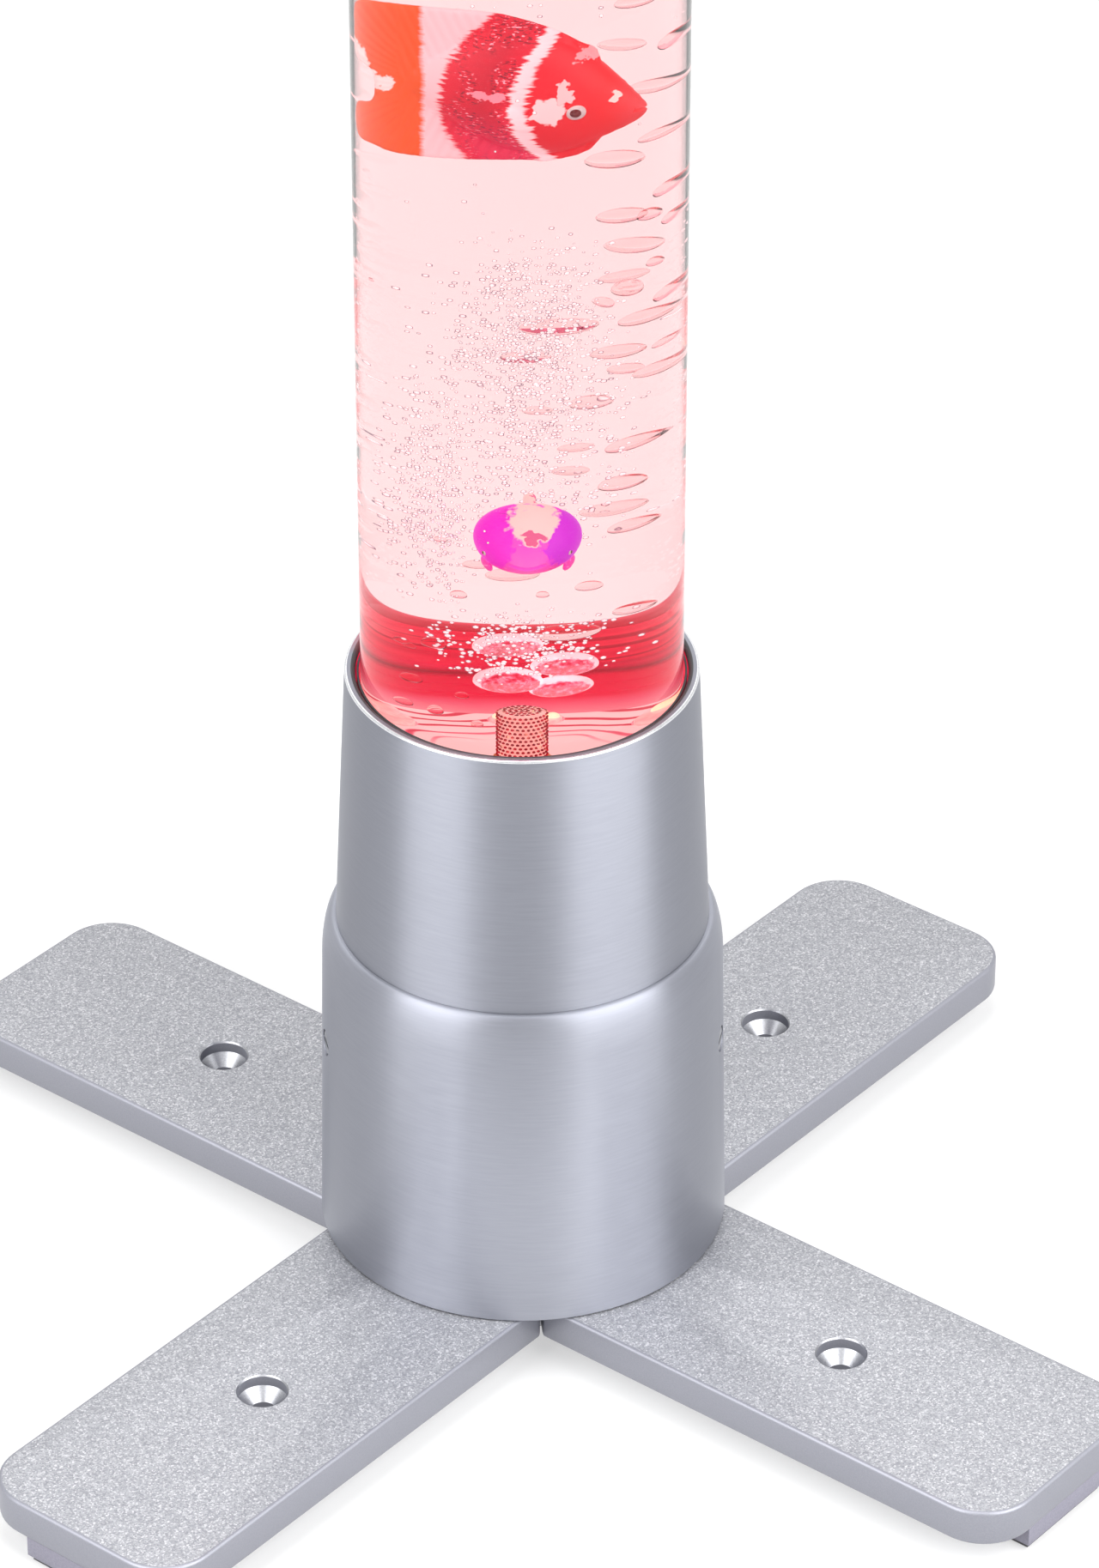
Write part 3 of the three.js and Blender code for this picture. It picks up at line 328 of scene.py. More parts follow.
def pickRays(tree, *kinds):
    # 1 for rays of these kinds, 0 for the others
    path = addNode(tree, "LightPath")
    picked = (path, f"Is {kinds[0]} Ray")
    for kind in kinds[1:]:
        picked = addNode(tree, "Math", {"operation": "MAXIMUM"}, {0: picked, 1: (path, f"Is {kind} Ray")})
    return picked


def clearFinish(name, ior, tint, rim=None, rimStart=1, passing="#FFFFFF", shine=1):
    # clear plastic, water or a bubble's skin, some with a painted tone towards their outline, of shade or of
    # reflected red light
    material, tree, shader = startMaterial(name)[:3]
    setNode(shader, {
        "Transmission Weight": 1, "IOR": ior, "Roughness": 0, "Base Color": hexColor(tint),
        "Specular Tint": (shine, shine, shine, 1),
    })
    if rim:
        weight = addNode(tree, "LayerWeight", {"Blend": 0.5})
        shade = addNode(tree, "MapRange", {"From Min": rimStart, "From Max": 1.0}, {"Value": (weight, "Facing")})
        color = addNode(tree, "Mix", {"data_type": "RGBA", 6: hexColor(tint), 7: hexColor(rim)}, {0: shade})
        setNode(shader, links={"Base Color": (color, 2)})
    # lamp light and soft light pass straight on, so that what is inside is lit
    clear = addNode(tree, "BsdfTransparent", {"Color": hexColor(passing)})
    mix = addNode(tree, "MixShader", links={0: pickRays(tree, "Shadow", "Diffuse"), 1: shader, 2: clear})
    setNode(tree.nodes["Material Output"], links={"Surface": mix})
    return material


# Camera, lamps, world and floor

view = {
    "target": (6.78, -0.72, 147.05),
    "azimuth": -6.02,
    "elevation": 33.013,
    "distance": 1743.5,
    "lens": 160.09,
}


def bearing(azimuth, elevation):
    # the way from the object towards a lamp or the camera; azimuth 0 is the front, in degrees
    around, up = math.radians(azimuth), math.radians(elevation)
    return Vector((math.sin(around) * math.cos(up), -math.cos(around) * math.cos(up), math.sin(up)))


azimuth = math.radians(view["azimuth"])
back = bearing(view["azimuth"], view["elevation"])
cameraData = bpy.data.cameras.new("camera")
cameraData.lens = view["lens"]
cameraData.sensor_width = 36
camera = bpy.data.objects.new("camera", cameraData)
scene.collection.objects.link(camera)
camera.location = (Vector(view["target"]) + back * view["distance"]) * mm
camera.rotation_euler = (-back).to_track_quat("-Z", "Y").to_euler()
scene.camera = camera


def addLamp(name, size, watts, place, aim):
    data = bpy.data.lights.new(name, "AREA")
    data.shape = "RECTANGLE"
    data.size, data.size_y = size
    data.energy = watts
    lamp = bpy.data.objects.new(name, data)
    scene.collection.objects.link(lamp)
    lamp.location = place
    lamp.rotation_euler = aim.to_track_quat("-Z", "Y").to_euler()
    lamp.visible_camera = False
    return lamp


# in metres and watts, aimed at a point over the floor; the cards shine on the housing alone
aimLevel = 0.25
lamps = {
    "softboxLeft": {"azimuth": -58, "elevation": 30, "distance": 1.9, "size": (1.5, 2.1), "watts": 44},
    "softboxRight": {"azimuth": 48, "elevation": 30, "distance": 1.9, "size": (1.9, 2.1), "watts": 58},
    "softboxTop": {"azimuth": -6, "elevation": 88, "distance": 2.2, "size": (0.9, 1.6), "watts": 15},
    "softboxBack": {"azimuth": 178, "elevation": 35, "distance": 2.0, "size": (2.4, 1.0), "watts": 4.5},
    # over the lamp's back: the white band on the rounded shoulder
    "highCard": {"azimuth": 180, "elevation": 62, "distance": 1.8, "level": 0.1, "size": (3.4, 2.2), "watts": 40},
}
shone = bpy.data.collections.new("shoneOnByCards")
for name, lamp in lamps.items():
    toward = bearing(lamp["azimuth"], lamp["elevation"])
    place = Vector((0, 0, lamp.get("level", aimLevel))) + toward * lamp["distance"]
    light = addLamp(name, lamp["size"], lamp["watts"], place, -toward)
    light.visible_transmission = False  # not seen as a white patch through the tank
    if name == "highCard":
        light.light_linking.receiver_collection = shone

# a small card before the foot is only mirrored, which lifts the housing's middle towards the floor
lowCard = {"size": (0.16, 0.05), "watts": 0.035, "level": 0.022, "reach": 0.11, "tilt": 0.3}
toward = -bearing(view["azimuth"], 0)
place = Vector((0, 0, lowCard["level"])) - toward * lowCard["reach"]
card = addLamp("lowCard", lowCard["size"], lowCard["watts"], place, toward + Vector((0, 0, lowCard["tilt"])))
card.visible_diffuse = False
card.light_linking.receiver_collection = shone


# the rays by which the camera sees something, in a mirror or through a clear wall too
seen = ("Camera", "Glossy", "Transmission")
ambient = 0.15  # what the room gives to the surfaces
world = bpy.data.worlds.new("studio")
scene.world = world
world.use_nodes = True
tree = world.node_tree
tree.nodes.clear()
room = addNode(tree, "Background", {"Color": hexColor("#FFFFFF"), "Strength": ambient})
white = addNode(tree, "Background", {"Color": hexColor("#FFFFFF"), "Strength": 1.0})
both = addNode(tree, "MixShader", links={0: pickRays(tree, *seen), 1: room, 2: white})
addNode(tree, "OutputWorld", links={"Surface": both})

clearSelection()
bpy.ops.mesh.primitive_plane_add(size=16)
floor = bpy.context.object
floor.name = "floor"
paper, tree, shader, place = startMaterial("whitePaperFloor")
# the lamps fade out away from the object, so the floor's own white rises there
away = addNode(tree, "VectorMath", {"operation": "LENGTH"}, {0: place})
white = addNode(
    tree, "MapRange", {"From Min": 0.6, "From Max": 1.8, "To Min": 0.5, "To Max": 1.0}, {"Value": (away, "Value")},
)
lift = addNode(tree, "Math", {"operation": "MULTIPLY"}, {0: pickRays(tree, *seen), 1: white})
setNode(shader, {
    "Base Color": hexColor("#BEBEBE"), "Roughness": 0.9, "Specular IOR Level": 0.0,
    "Emission Color": hexColor("#FFFFFF"),
}, {"Emission Strength": lift})
dress(floor, paper)
print("camera, lamps and floor are set")


# Materials

# Turned aluminium under satin lacquer: soft upright bands of light, and rings just fine enough to see
satinSilver = grainFinish(
    "satinTurnedAluminium", dark="#8E9099", light="#93959E", grain=1.2, rough=(0.43, 0.47), metallic=1.0,
    bump=0.02, height=0.01, stretch=(0.12, 0.12, 2.0), turned=0.9,
)

# The same lacquer on the plate's cut edges: smooth and a little paler
edgeSilver = grainFinish(
    "satinSilverEdge", dark="#92939C", light="#9A9BA4", grain=0.4, rough=(0.4, 0.48), metallic=0.6, bump=0.06,
    height=0.01,
)

# The rim's outer edge is broken and polished, and painted paler as a highlight: a thin white line along the front
polishedEdgeHighlight = grainFinish(
    "polishedRimEdgePaintedHighlight", dark="#D6D7DB", light="#E2E3E6", grain=0.8, rough=(0.12, 0.2), metallic=1.0, bump=0.02,
    height=0.01,
)


def sparkleFinish(name, flake, tones, bump, height):
    # powder coat with coarse flake: each flake has its own tone and lies at its own angle
    material, tree, shader, place = startMaterial(name)
    flakes = addNode(tree, "TexVoronoi", {"Scale": 1 / (flake * mm), "Randomness": 1.0}, {"Vector": place})
    parts = addNode(tree, "SeparateColor", links={0: (flakes, "Color")})
    ramp = addNode(tree, "ValToRGB", links={"Fac": parts})
    setColors(ramp, tones)
    rough = addNode(tree, "MapRange", {"To Min": 0.35, "To Max": 0.6}, {"Value": (parts, 1)})
    relief = addNode(tree, "Bump", {"Strength": bump, "Distance": height * mm}, {"Height": (parts, 2)})
    setNode(shader, {"Metallic": 0.45}, {"Base Color": ramp, "Roughness": rough, "Normal": relief})
    return material


# Textured silver powder coat on the legs' tops. The real flake is about 0.2 mm, drawn twice as coarse to show.
legSilver = sparkleFinish(
    "texturedSilverPowderCoat", flake=0.4, bump=0.2, height=0.04,
    tones=[(0.0, "#909197"), (0.45, "#A5A6AC"), (0.8, "#B3B4B9"), (1.0, "#D4D4D8")],
)

# Mild steel bared by the countersink: fine turned rings and a hard shine
bareSteel = grainFinish(
    "turnedSteelSeat", dark="#8E8F94", light="#B0B1B5", grain=0.5, rough=(0.3, 0.4), metallic=1.0,
    stretch=(1, 1, 8), bump=0.1, height=0.01,
)

# Zinc-plated steel: a plain grey shine with faint clouds
zincSteel = grainFinish(
    "zincPlatedSteel", dark="#9C9EA2", light="#B4B6BA", grain=1.5, rough=(0.28, 0.4), metallic=1.0, bump=0.05,
    height=0.01,
)

# Pressed steel with an oiled mill skin, seen only from below
plateSteel = grainFinish(
    "pressedSteel", dark="#909296", light="#A9ABAF", grain=2.5, rough=(0.35, 0.5), metallic=1.0,
    stretch=(1, 6, 1), bump=0.08,
)

# Lilac-grey ABS moulding: dull, with a fine moulded grain
footPlastic = grainFinish(
    "mouldedGreyFoot", dark="#888694", light="#9694A2", grain=0.5, rough=(0.5, 0.62), bump=0.15, height=0.03,
)

# Dark soft rubber with a dusty bloom
padRubber = grainFinish(
    "footRubber", dark="#4A4A4D", light="#5A5A5D", grain=0.6, rough=(0.75, 0.9), bump=0.3, height=0.04,
)
sealRubber = grainFinish("sealRubber", dark="#3C3D40", light="#4A4B4E", grain=0.5, rough=(0.6, 0.75), bump=0.15)

# Glass-filled nylon of the chassis: dark grey with faint streaks along the flow
chassisNylon = grainFinish(
    "glassFilledNylon", dark="#6C6C71", light="#7B7B80", grain=1.2, rough=(0.5, 0.65), stretch=(1, 3, 1),
    height=0.03,
)
blackPlastic = grainFinish(
    "mouldedBlackPlastic", dark="#1B1C1E", light="#252628", grain=0.6, rough=(0.45, 0.6), height=0.03,
)
whitePlastic = grainFinish(
    "mouldedWhitePlastic", dark="#DFDFDD", light="#E9E9E7", grain=0.8, rough=(0.3, 0.42), bump=0.08,
)

# Solder mask over woven glass: green with the weave just showing
boardGreen = grainFinish(
    "solderMask", dark="#245A31", light="#35733F", grain=0.8, rough=(0.3, 0.45), stretch=(1, 1, 0.3), bump=0.1,
)

# Turned brass, slightly dulled
brass = grainFinish(
    "turnedBrass", dark="#B8924A", light="#D0AC62", grain=0.5, rough=(0.25, 0.4), metallic=1.0,
    stretch=(1, 1, 6), bump=0.1, height=0.01,
)

# Stacked electrical steel: the sheets show as fine lines
coreSteel = grainFinish(
    "laminatedSteel", dark="#77797D", light="#9B9DA1", grain=1.0, rough=(0.4, 0.55), metallic=0.9,
    stretch=(0.1, 0.1, 2.2), bump=0.4, height=0.05,
)
ferrite = grainFinish("sinteredFerrite", dark="#3A3B3D", light="#48494C", grain=0.5, rough=(0.5, 0.65))

# Enamelled wire in close turns
copper = grainFinish(
    "enamelledCopper", dark="#8A4420", light="#C9743C", grain=0.9, rough=(0.25, 0.35), metallic=0.9,
    stretch=(3, 0.1, 0.1), bump=0.5, height=0.08,
)

# Milky silicone hose
silicone = grainFinish("milkySilicone", dark="#D5DAD9", light="#E2E6E5", grain=2.0, rough=(0.3, 0.4), bump=0.05)
wireJacket = grainFinish("wireJacket", dark="#B9B9B9", light="#C6C6C6", grain=1.0, rough=(0.4, 0.5), bump=0.05)

# Polished cast acrylic, its faint pink tint the tank's red light painted in. The grey at grazing angles is painted
# shade along the tube's edges.
acrylic = clearFinish(
    "polishedAcrylic", ior=1.38, tint="#FFF0F1", rim="#F0DCDD", rimStart=0.9, passing="#D8D0D0", shine=0.6,
)
# The wetted inside: from acrylic into water light bends far less, and the red light tints it
wetAcrylic = clearFinish("wettedAcrylic", ior=1.035, tint="#FFEBEC", passing="#D8D0D0")
# Still water holds nothing to see at its sides, and only its upper face bends the light
# the faint pink tints of the water are the tank's red light painted in
waterSide = clearFinish("waterSide", ior=1.0, tint="#FFF6F5")
waterTop = clearFinish("waterSurface", ior=1.333, tint="#FFFDFD")
# Air bubbles lit from below: clear in the middle, with a painted rosy reflection of the red light towards the edge
bubbleSkin = clearFinish("airBubble", ior=1.12, tint="#FFEEEE", rim="#F0A8B0", rimStart=0.6)
# The lower front edge of a rising bubble gets a painted reflection of the deep red light from below
bubbleRedReflection = clearFinish("airBubblePaintedRedEdge", ior=1.05, tint="#F8B4C0", rim="#C04868", rimStart=0.3)
# Two of them get a much deeper crimson, a painted reflection of the red light
bubbleCrimsonReflection = clearFinish("crimsonBubblePaintedEdge", ior=1.05, tint="#D84868", rim="#900C30", rimStart=0.2)


def litFinish(name, pattern, stops, rough, strength, base=None, specular=0.5, alpha=1):
    # a painted glow in the pattern's tones, over a darker colour of the surface's own or over the same tones
    material, tree, shader, place = startMaterial(name)
    tones = addNode(tree, "ValToRGB", links={"Fac": pattern(tree, place)})
    setColors(tones, stops)
    settings = {"Roughness": rough, "Specular IOR Level": specular, "Emission Strength": strength, "Alpha": alpha}
    links = {"Emission Color": tones}
    if base:
        settings["Base Color"] = hexColor(base)
    else:
        links["Base Color"] = tones
    setNode(shader, settings, links)
    return material


def mistPattern(tree, place):
    # a painted shaded outline by facing, stronger on some bubbles
    cells = addNode(tree, "TexVoronoi", {"Scale": 700.0}, {"Vector": place})
    parts = addNode(tree, "SeparateColor", links={0: (cells, "Color")})
    facing = addNode(tree, "LayerWeight", {"Blend": 0.5})
    return addNode(tree, "Math", {"operation": "MULTIPLY_ADD", 1: 0.35}, {0: parts, 2: (facing, "Facing")})


def foamPattern(tree, place):
    # froth, and a step to a painted highlight towards the far edge
    froth = addNode(tree, "TexNoise", {"Scale": 1100.0, "Detail": 3.0}, {"Vector": place})
    facing = addNode(tree, "NewGeometry")
    facing = addNode(tree, "SeparateXYZ", links={0: (facing, "Normal")})
    back = addNode(tree, "MapRange", {"From Min": -0.55, "From Max": -0.3, "To Max": 0.9}, {"Value": (facing, "Y")})
    specks = addNode(tree, "MapRange", {"From Min": 0.35, "From Max": 0.65, "To Max": 0.55}, {"Value": froth})
    return addNode(tree, "Math", {"operation": "ADD"}, {0: back, 1: specks})


def levelPattern(tree, place):
    # from the floor of the tank to the bulkhead's top, wavering a little; the tones along it are painted light and
    # shade of the glow
    height = addNode(tree, "SeparateXYZ", links={0: place})
    level = addNode(tree, "MapRange", {"From Min": 0.160, "From Max": 0.184}, {"Value": (height, "Z")})
    waver = addNode(tree, "TexNoise", {"Scale": 60.0, "Detail": 2.0}, {"Vector": place})
    shift = addNode(tree, "Math", {"operation": "MULTIPLY_ADD", 1: 0.16, 2: -0.08}, {0: waver})
    return addNode(tree, "Math", {"operation": "ADD"}, {0: level, 1: shift})


def ringPattern(tree, place):
    # bent rings of light that run along the wall
    flat = addNode(tree, "VectorMath", {"operation": "MULTIPLY", 1: (1, 1, 0)}, {0: place})
    radius = addNode(tree, "VectorMath", {"operation": "LENGTH"}, {0: flat})
    bend = addNode(tree, "TexNoise", {"Scale": 70.0, "Detail": 1.0}, {"Vector": place})
    rings = addNode(tree, "Math", {"operation": "MULTIPLY", 1: 1700.0}, {0: (radius, "Value")})
    rings = addNode(tree, "Math", {"operation": "MULTIPLY_ADD", 1: 26.0}, {0: bend, 2: rings})
    wave = addNode(tree, "Math", {"operation": "SINE"}, {0: rings})
    near = addNode(tree, "MapRange", {"From Min": 0.016, "From Max": 0.027}, {"Value": (radius, "Value")})
    lines = addNode(tree, "MapRange", {"From Min": 0.45, "From Max": 0.95}, {"Value": wave})
    return addNode(tree, "Math", {"operation": "MULTIPLY"}, {0: lines, 1: near})


def streakPattern(tree, place):
    # fine streaks all round
    streaks = addNode(tree, "Mapping", {"Scale": (14.0, 14.0, 620.0)}, {"Vector": place})
    return addNode(tree, "TexNoise", {"Scale": 1.0, "Detail": 2.0}, {"Vector": streaks})


def hazePattern(tree, place):
    return addNode(tree, "TexNoise", {"Scale": 900.0, "Detail": 2.0}, {"Vector": place})


def grainPattern(tree, place):
    # each grain in its own tone
    grains = addNode(tree, "TexVoronoi", {"Scale": 1500.0}, {"Vector": place})
    return addNode(tree, "SeparateColor", links={0: (grains, "Color")})


def lensFinish(name, color, strength):
    return litFinish(name, hazePattern, [(0.3, color), (0.8, "#FFF8E6")], 0.1, strength, color)


def rimFinish(name, tone, metallic):
    # the rim in front, and behind the tube the same rim reddened by a painted glow of the tube's light
    material, tree, shader, place = startMaterial(name)
    depth = addNode(tree, "SeparateXYZ", links={0: place})
    glow = addNode(tree, "MapRange", {"From Min": 0.010, "From Max": 0.032, "To Max": 0.8}, {"Value": (depth, "Y")})
    color = addNode(tree, "Mix", {"data_type": "RGBA", 6: hexColor(tone), 7: hexColor("#B00E2C")}, {0: glow})
    setNode(
        shader, {"Metallic": metallic, "Roughness": 0.45, "Emission Color": hexColor("#B00E2C")},
        {"Base Color": (color, 2), "Emission Strength": glow},
    )
    return material


# The finest bubbles: a painted white highlight in the middle, with a painted shaded mauve outline and a painted
# glow
mistPaintedShading = litFinish(
    "fineBubbles", mistPattern, rough=0.2, strength=0.5,
    stops=[(0.0, "#FFFFFF"), (0.44, "#FFFFFF"), (0.62, "#C4ACB8"), (0.9, "#806C7E")],
)
# The big fresh bubbles over the stone: painted red light in front, a painted white highlight along the far edge,
# and a painted glow
foamPaintedLight = litFinish(
    "foamyBubble", foamPattern, rough=0.3, strength=0.5, specular=0.1, alpha=0.8,
    stops=[(0.1, "#C01438"), (0.4, "#E45C7C"), (0.62, "#F8A8BC"), (0.85, "#FFF0F4")],
)
# Clear red acrylic, polished and lit through from below: its glow is painted, and it has a wet shine
redAcrylic = litFinish(
    "litRedAcrylic", levelPattern, rough=0.25, strength=0.95, base="#780620", specular=0.1,
    stops=[(0.0, "#F2A0A8"), (0.16, "#E8607A"), (0.24, "#E01840"), (0.46, "#D81038"), (0.52, "#80041C"),
           (0.58, "#E81C44"), (0.92, "#E0143C"), (1.0, "#9A0824")],
)
# The same acrylic's floor: a painted glow, pale pink, with painted dark-red rings of light
pinkFloor = litFinish(
    "litPinkFloor", ringPattern, rough=0.25, strength=0.9, base="#905C60", specular=0.1,
    stops=[(0.0, "#FADCDA"), (0.3, "#EE7C90"), (0.7, "#C01038")],
)
# The sleeve's inner face, pressed on the wet tube, and the collar's bore: a painted red glow of the tube's light,
# with a few dark streaks
litSeal = litFinish(
    "redLitSeal", streakPattern, rough=0.4, strength=1.0, base="#700A1C", specular=0.1,
    stops=[(0.36, "#90061F"), (0.43, "#E01840"), (0.6, "#F0284C"), (0.68, "#B40A2C")],
)
# the rim's flat top, and its inner bevel in a dark tone that is painted shade of the tube
rimTop = rimFinish("satinRimTop", "#93959E", 1.0)
rimBevel = rimFinish("shadedRimBevel", "#3C3D40", 0.0)
lensBody = lensFinish("rosyLensPost", "#F4B4B4", 0.5)
lensDot = lensFinish("warmWhiteLight", "#FFF0C0", 0.7)
# Sintered grains, each in its own tone, red, rose and warm white, under a painted glow of the tank's red light
stoneGrain = litFinish(
    "sinteredAirStone", grainPattern, rough=0.7, strength=0.25,
    stops=[(0.0, "#780014"), (0.6, "#A00820"), (0.9, "#C82038"), (1.0, "#FFE8C0")],
)
# the stone's ground gets the painted glow too
stoneGround = lensFinish("litStoneGround", "#ECB4AC", 0.4)
print("materials are made")


# Legs: four mitred plates with softened edges, each with a countersunk hole

legs = {
    "half": 32, "reach": 174.6, "tip": 14, "bottom": 8.0, "top": 18.0, "edge": 0.9, "mitre": 0.424,
    "boltReach": 27, "boltHole": 2.5, "holeReach": 103.4, "mouth": 6.3, "straight": 3.1, "bore": 3.3,
    "rim": 0.35,
    "turns": {"back_right": 45, "back_left": 135, "front_left": 225, "front_right": 315},
}


def makeLeg():
    half, tip = legs["half"], legs["tip"]
    start = legs["mitre"]
    tipStart = legs["reach"] - tip
    right = quarter((tipStart, -half + tip), tip, -90, 0, 12)
    left = quarter((tipStart, half - tip), tip, 0, 90, 12)
    leg = plate("leg", [(start, 0), (start + half, -half), *right, *left, (start + half, half)],
                legs["bottom"], legs["top"])
    soften(leg, legs["edge"], 3)
    top, mouth, rim = legs["top"], legs["mouth"], legs["rim"]
    seatTop = top - legs["straight"]
    seatBottom = seatTop - (mouth - legs["bore"])
    sink = turned("sink", [
        (0, top + 1), (mouth + rim, top + 1), (mouth + rim, top), (mouth, top - rim),
        (mouth, seatTop), (legs["bore"], seatBottom), (legs["bore"], legs["bottom"] - 1), (0, legs["bottom"] - 1),
    ], 96)
    placeInMesh(sink, move=(legs["holeReach"], 0, 0))
    cutOut(leg, sink, makeRod(legs["boltHole"], 3 * (top - legs["bottom"]), (legs["boltReach"], 0, 13)))
    dress(leg, legSilver, edgeSilver, bareSteel)
    hole = Vector((legs["holeReach"] * mm, 0))
    paintFaces(leg, 1, lambda face: face.normal.z < 0.98)

    def onSeat(face):
        away = (face.center.xy - hole).length / mm
        return away < mouth + rim and 0.3 < face.normal.z < 0.95
    paintFaces(leg, 2, onSeat)
    return leg


def placeOnCorners(first, prefix):
    for corner, turn in legs["turns"].items():
        piece = copyPiece(first, prefix + corner)
        placeInMesh(piece, (0, 0, math.radians(turn)))
        addPiece(piece, "lamp", [prefix + corner])
    bpy.data.objects.remove(first, do_unlink=True)


placeOnCorners(makeLeg(), "leg_")
print("legs are made")


# Foot blocks: moulded, with rounded corners and a shallow parting step all round

foot = {"length": 30, "width": 32, "bottom": 1.8, "top": 7.7, "middle": 158.7, "edge": 0.6, "step": 0.35,
        "hollow": 0.8}


def makeFoot():
    size = (foot["length"], foot["width"], foot["top"] - foot["bottom"])
    block = makeBox(size, (foot["middle"], 0, (foot["top"] + foot["bottom"]) / 2))
    pickFaces(block, lambda face: face.normal.z < -0.5)
    bpy.ops.mesh.inset(thickness=foot["step"] * mm)
    bpy.ops.mesh.extrude_region_move(TRANSFORM_OT_translate={"value": (0, 0, foot["hollow"] * mm)})
    bpy.ops.object.mode_set(mode="OBJECT")
    soften(block, foot["edge"], 3)
    return dress(block, footPlastic)


placeOnCorners(makeFoot(), "foot_block_")


# Base: lower housing with its rounded shoulder, upper collar, sleeve, side screws, inlet and button

base = {
    "foot": 52.3, "shoulder": 50.9, "mouth": 47.7, "bottom": 18.3, "shoulderLevel": 97.0, "top": 109.7,
    "wall": 2.4, "screwLevel": 75.6, "screwAngles": {"right": -16, "left": 186}, "screwHole": 3.5,
    "inletLevel": 42.0, "inletHole": 5.9, "buttonLevel": 62.0, "buttonHole": 5.5,
}


def shoulderCurve(inset, steps=16):
    wide, high = base["shoulder"] - base["mouth"], base["top"] - base["shoulderLevel"]
    points = quarter((0, 0), 1, 0, 90, steps)
    return [(base["mouth"] + wide * x - inset, base["shoulderLevel"] + high * z) for x, z in points]


inside = base["foot"] - base["wall"]
housing = turned("base_housing", [
    (inside, base["bottom"]),
    *quarter((base["foot"] - 0.5, base["bottom"] + 0.5), 0.5, -90, 0, 4),
    *shoulderCurve(0),
    *reversed(shoulderCurve(base["wall"])),
    (inside, base["bottom"]),
], 192)
cutOut(
    housing,
    rodOut(base["inletHole"], 46, 56, 90, base["inletLevel"]),
    rodOut(base["buttonHole"], 46, 56, 90, base["buttonLevel"]),
    *[rodOut(base["screwHole"], 46, 56, turn, base["screwLevel"], 48) for turn in base["screwAngles"].values()],
)
addPiece(dress(housing, satinSilver), "lamp", ["base_housing"])
shone.objects.link(housing)

collar = turned("tube_collar", [
    (42.8, 101), (45.0, 101), (45.0, 109.75), (47.1, 109.75), (47.2, 109.85),
    *quarter((43.35, 181.35), 0.65, 3, 90, 6),
    *quarter((42.4, 180.8), 1.2, 90, 180, 6),
    (41.2, 149.7), (33, 149.7), (33, 145.7), (42.6, 145.7), (42.8, 110.0), (42.8, 101),
], 192)
dress(collar, satinSilver, litSeal, polishedEdgeHighlight, rimBevel, rimTop)
# the outer chamfer gets the painted highlight
paintFaces(collar, 2, ringTest(43.4, 60, 181.4, 190))
# the rim's top and inner bevel, the bevel with painted shade, both with the painted glow behind the tube
paintFaces(collar, 4, ringTest(42.4, 43.4, 180, 190))
paintFaces(collar, 3, ringTest(0, 42.4, 180.6, 190))
# the collar's bore gets the painted red glow of the tube's light
paintFaces(collar, 1, ringTest(0, 42.3, 150, 180.6))
addPiece(collar, "lamp", ["tube_collar"])

sleeve = turned("tube_gasket", [
    (40.3, 172.2), (40.9, 172.2), *quarter((40.6, 180.9), 0.3, 0, 180, 6), (40.3, 172.2),
], 192)
dress(sleeve, sealRubber, litSeal)
# the sleeve's inner faces and its top behind the tube get the painted red glow
paintFaces(sleeve, 1, lambda face: face.normal.xy.dot(face.center.xy) < 0 and abs(face.normal.z) < 0.6
           or face.normal.z > 0 and face.center.y > 0.02)
addPiece(sleeve, "lamp", ["tube_gasket"])


def makeScrew(name, angle):
    # pan head with a straight slot
    screw = turned(name, [
        (0, -8.2), (1.3, -8.2), (1.6, -7.8), (1.6, -2.2), (3.2, -2.2),
        *quarter((2.7, -0.5), 0.5, 0, 90, 4), (0, 0),
    ], 48)
    cutOut(screw, makeBox((0.9, 8, 1.6)))
    level = base["screwLevel"]
    share = (level - base["bottom"]) / (base["shoulderLevel"] - base["bottom"])
    reach = base["foot"] + (base["shoulder"] - base["foot"]) * share - 0.25
    turn = math.radians(angle)
    placeInMesh(screw, (0, math.pi / 2, turn), polar(reach, turn, level))
    return dress(screw, zincSteel)


for side, angle in base["screwAngles"].items():
    addPiece(makeScrew("side_screw_" + side, angle), "lamp", ["side_screw_" + side])

inlet = turned("power_inlet", [
    (0, 36.9), (5.6, 36.9), (5.6, 52.18), (7.2, 52.18), *quarter((6.8, 53.18), 0.4, 0, 90, 4),
    (3.3, 53.58), (2.9, 53.2), (2.9, 44.58), (0.9, 44.58), (0.9, 51.8), (0.6, 52.18), (0, 52.18),
], 64)
placeInMesh(inlet, (-math.pi / 2, 0, 0), (0, 0, base["inletLevel"]))
dress(inlet, blackPlastic, zincSteel)
pin = Vector((0, base["inletLevel"])) * mm
paintFaces(inlet, 1, lambda face: (face.center.xz - pin).length < 0.95 * mm and face.center.y > 44.6 * mm)
addPiece(inlet, "lamp", ["power_inlet"])

button = turned("mode_button", [
    (0, 42.1), (1.8, 42.1), (1.8, 46.52), (6.2, 46.52), (6.2, 48.22), (5.0, 48.22),
    *quarter((4.2, 52.72), 0.8, 0, 90, 5), (3.2, 53.5), (2.6, 53.3), (0, 53.2),
], 64)
placeInMesh(button, (-math.pi / 2, 0, 0), (0, 0, base["buttonLevel"]))
addPiece(dress(button, whitePlastic), "button", ["mode_button"])
print("base is made")


# Tank: tube, red bulkhead with its lights, air stone, water

tank = {"bulkheadTop": 173.6, "waterLevel": 1105, "floor": 161}

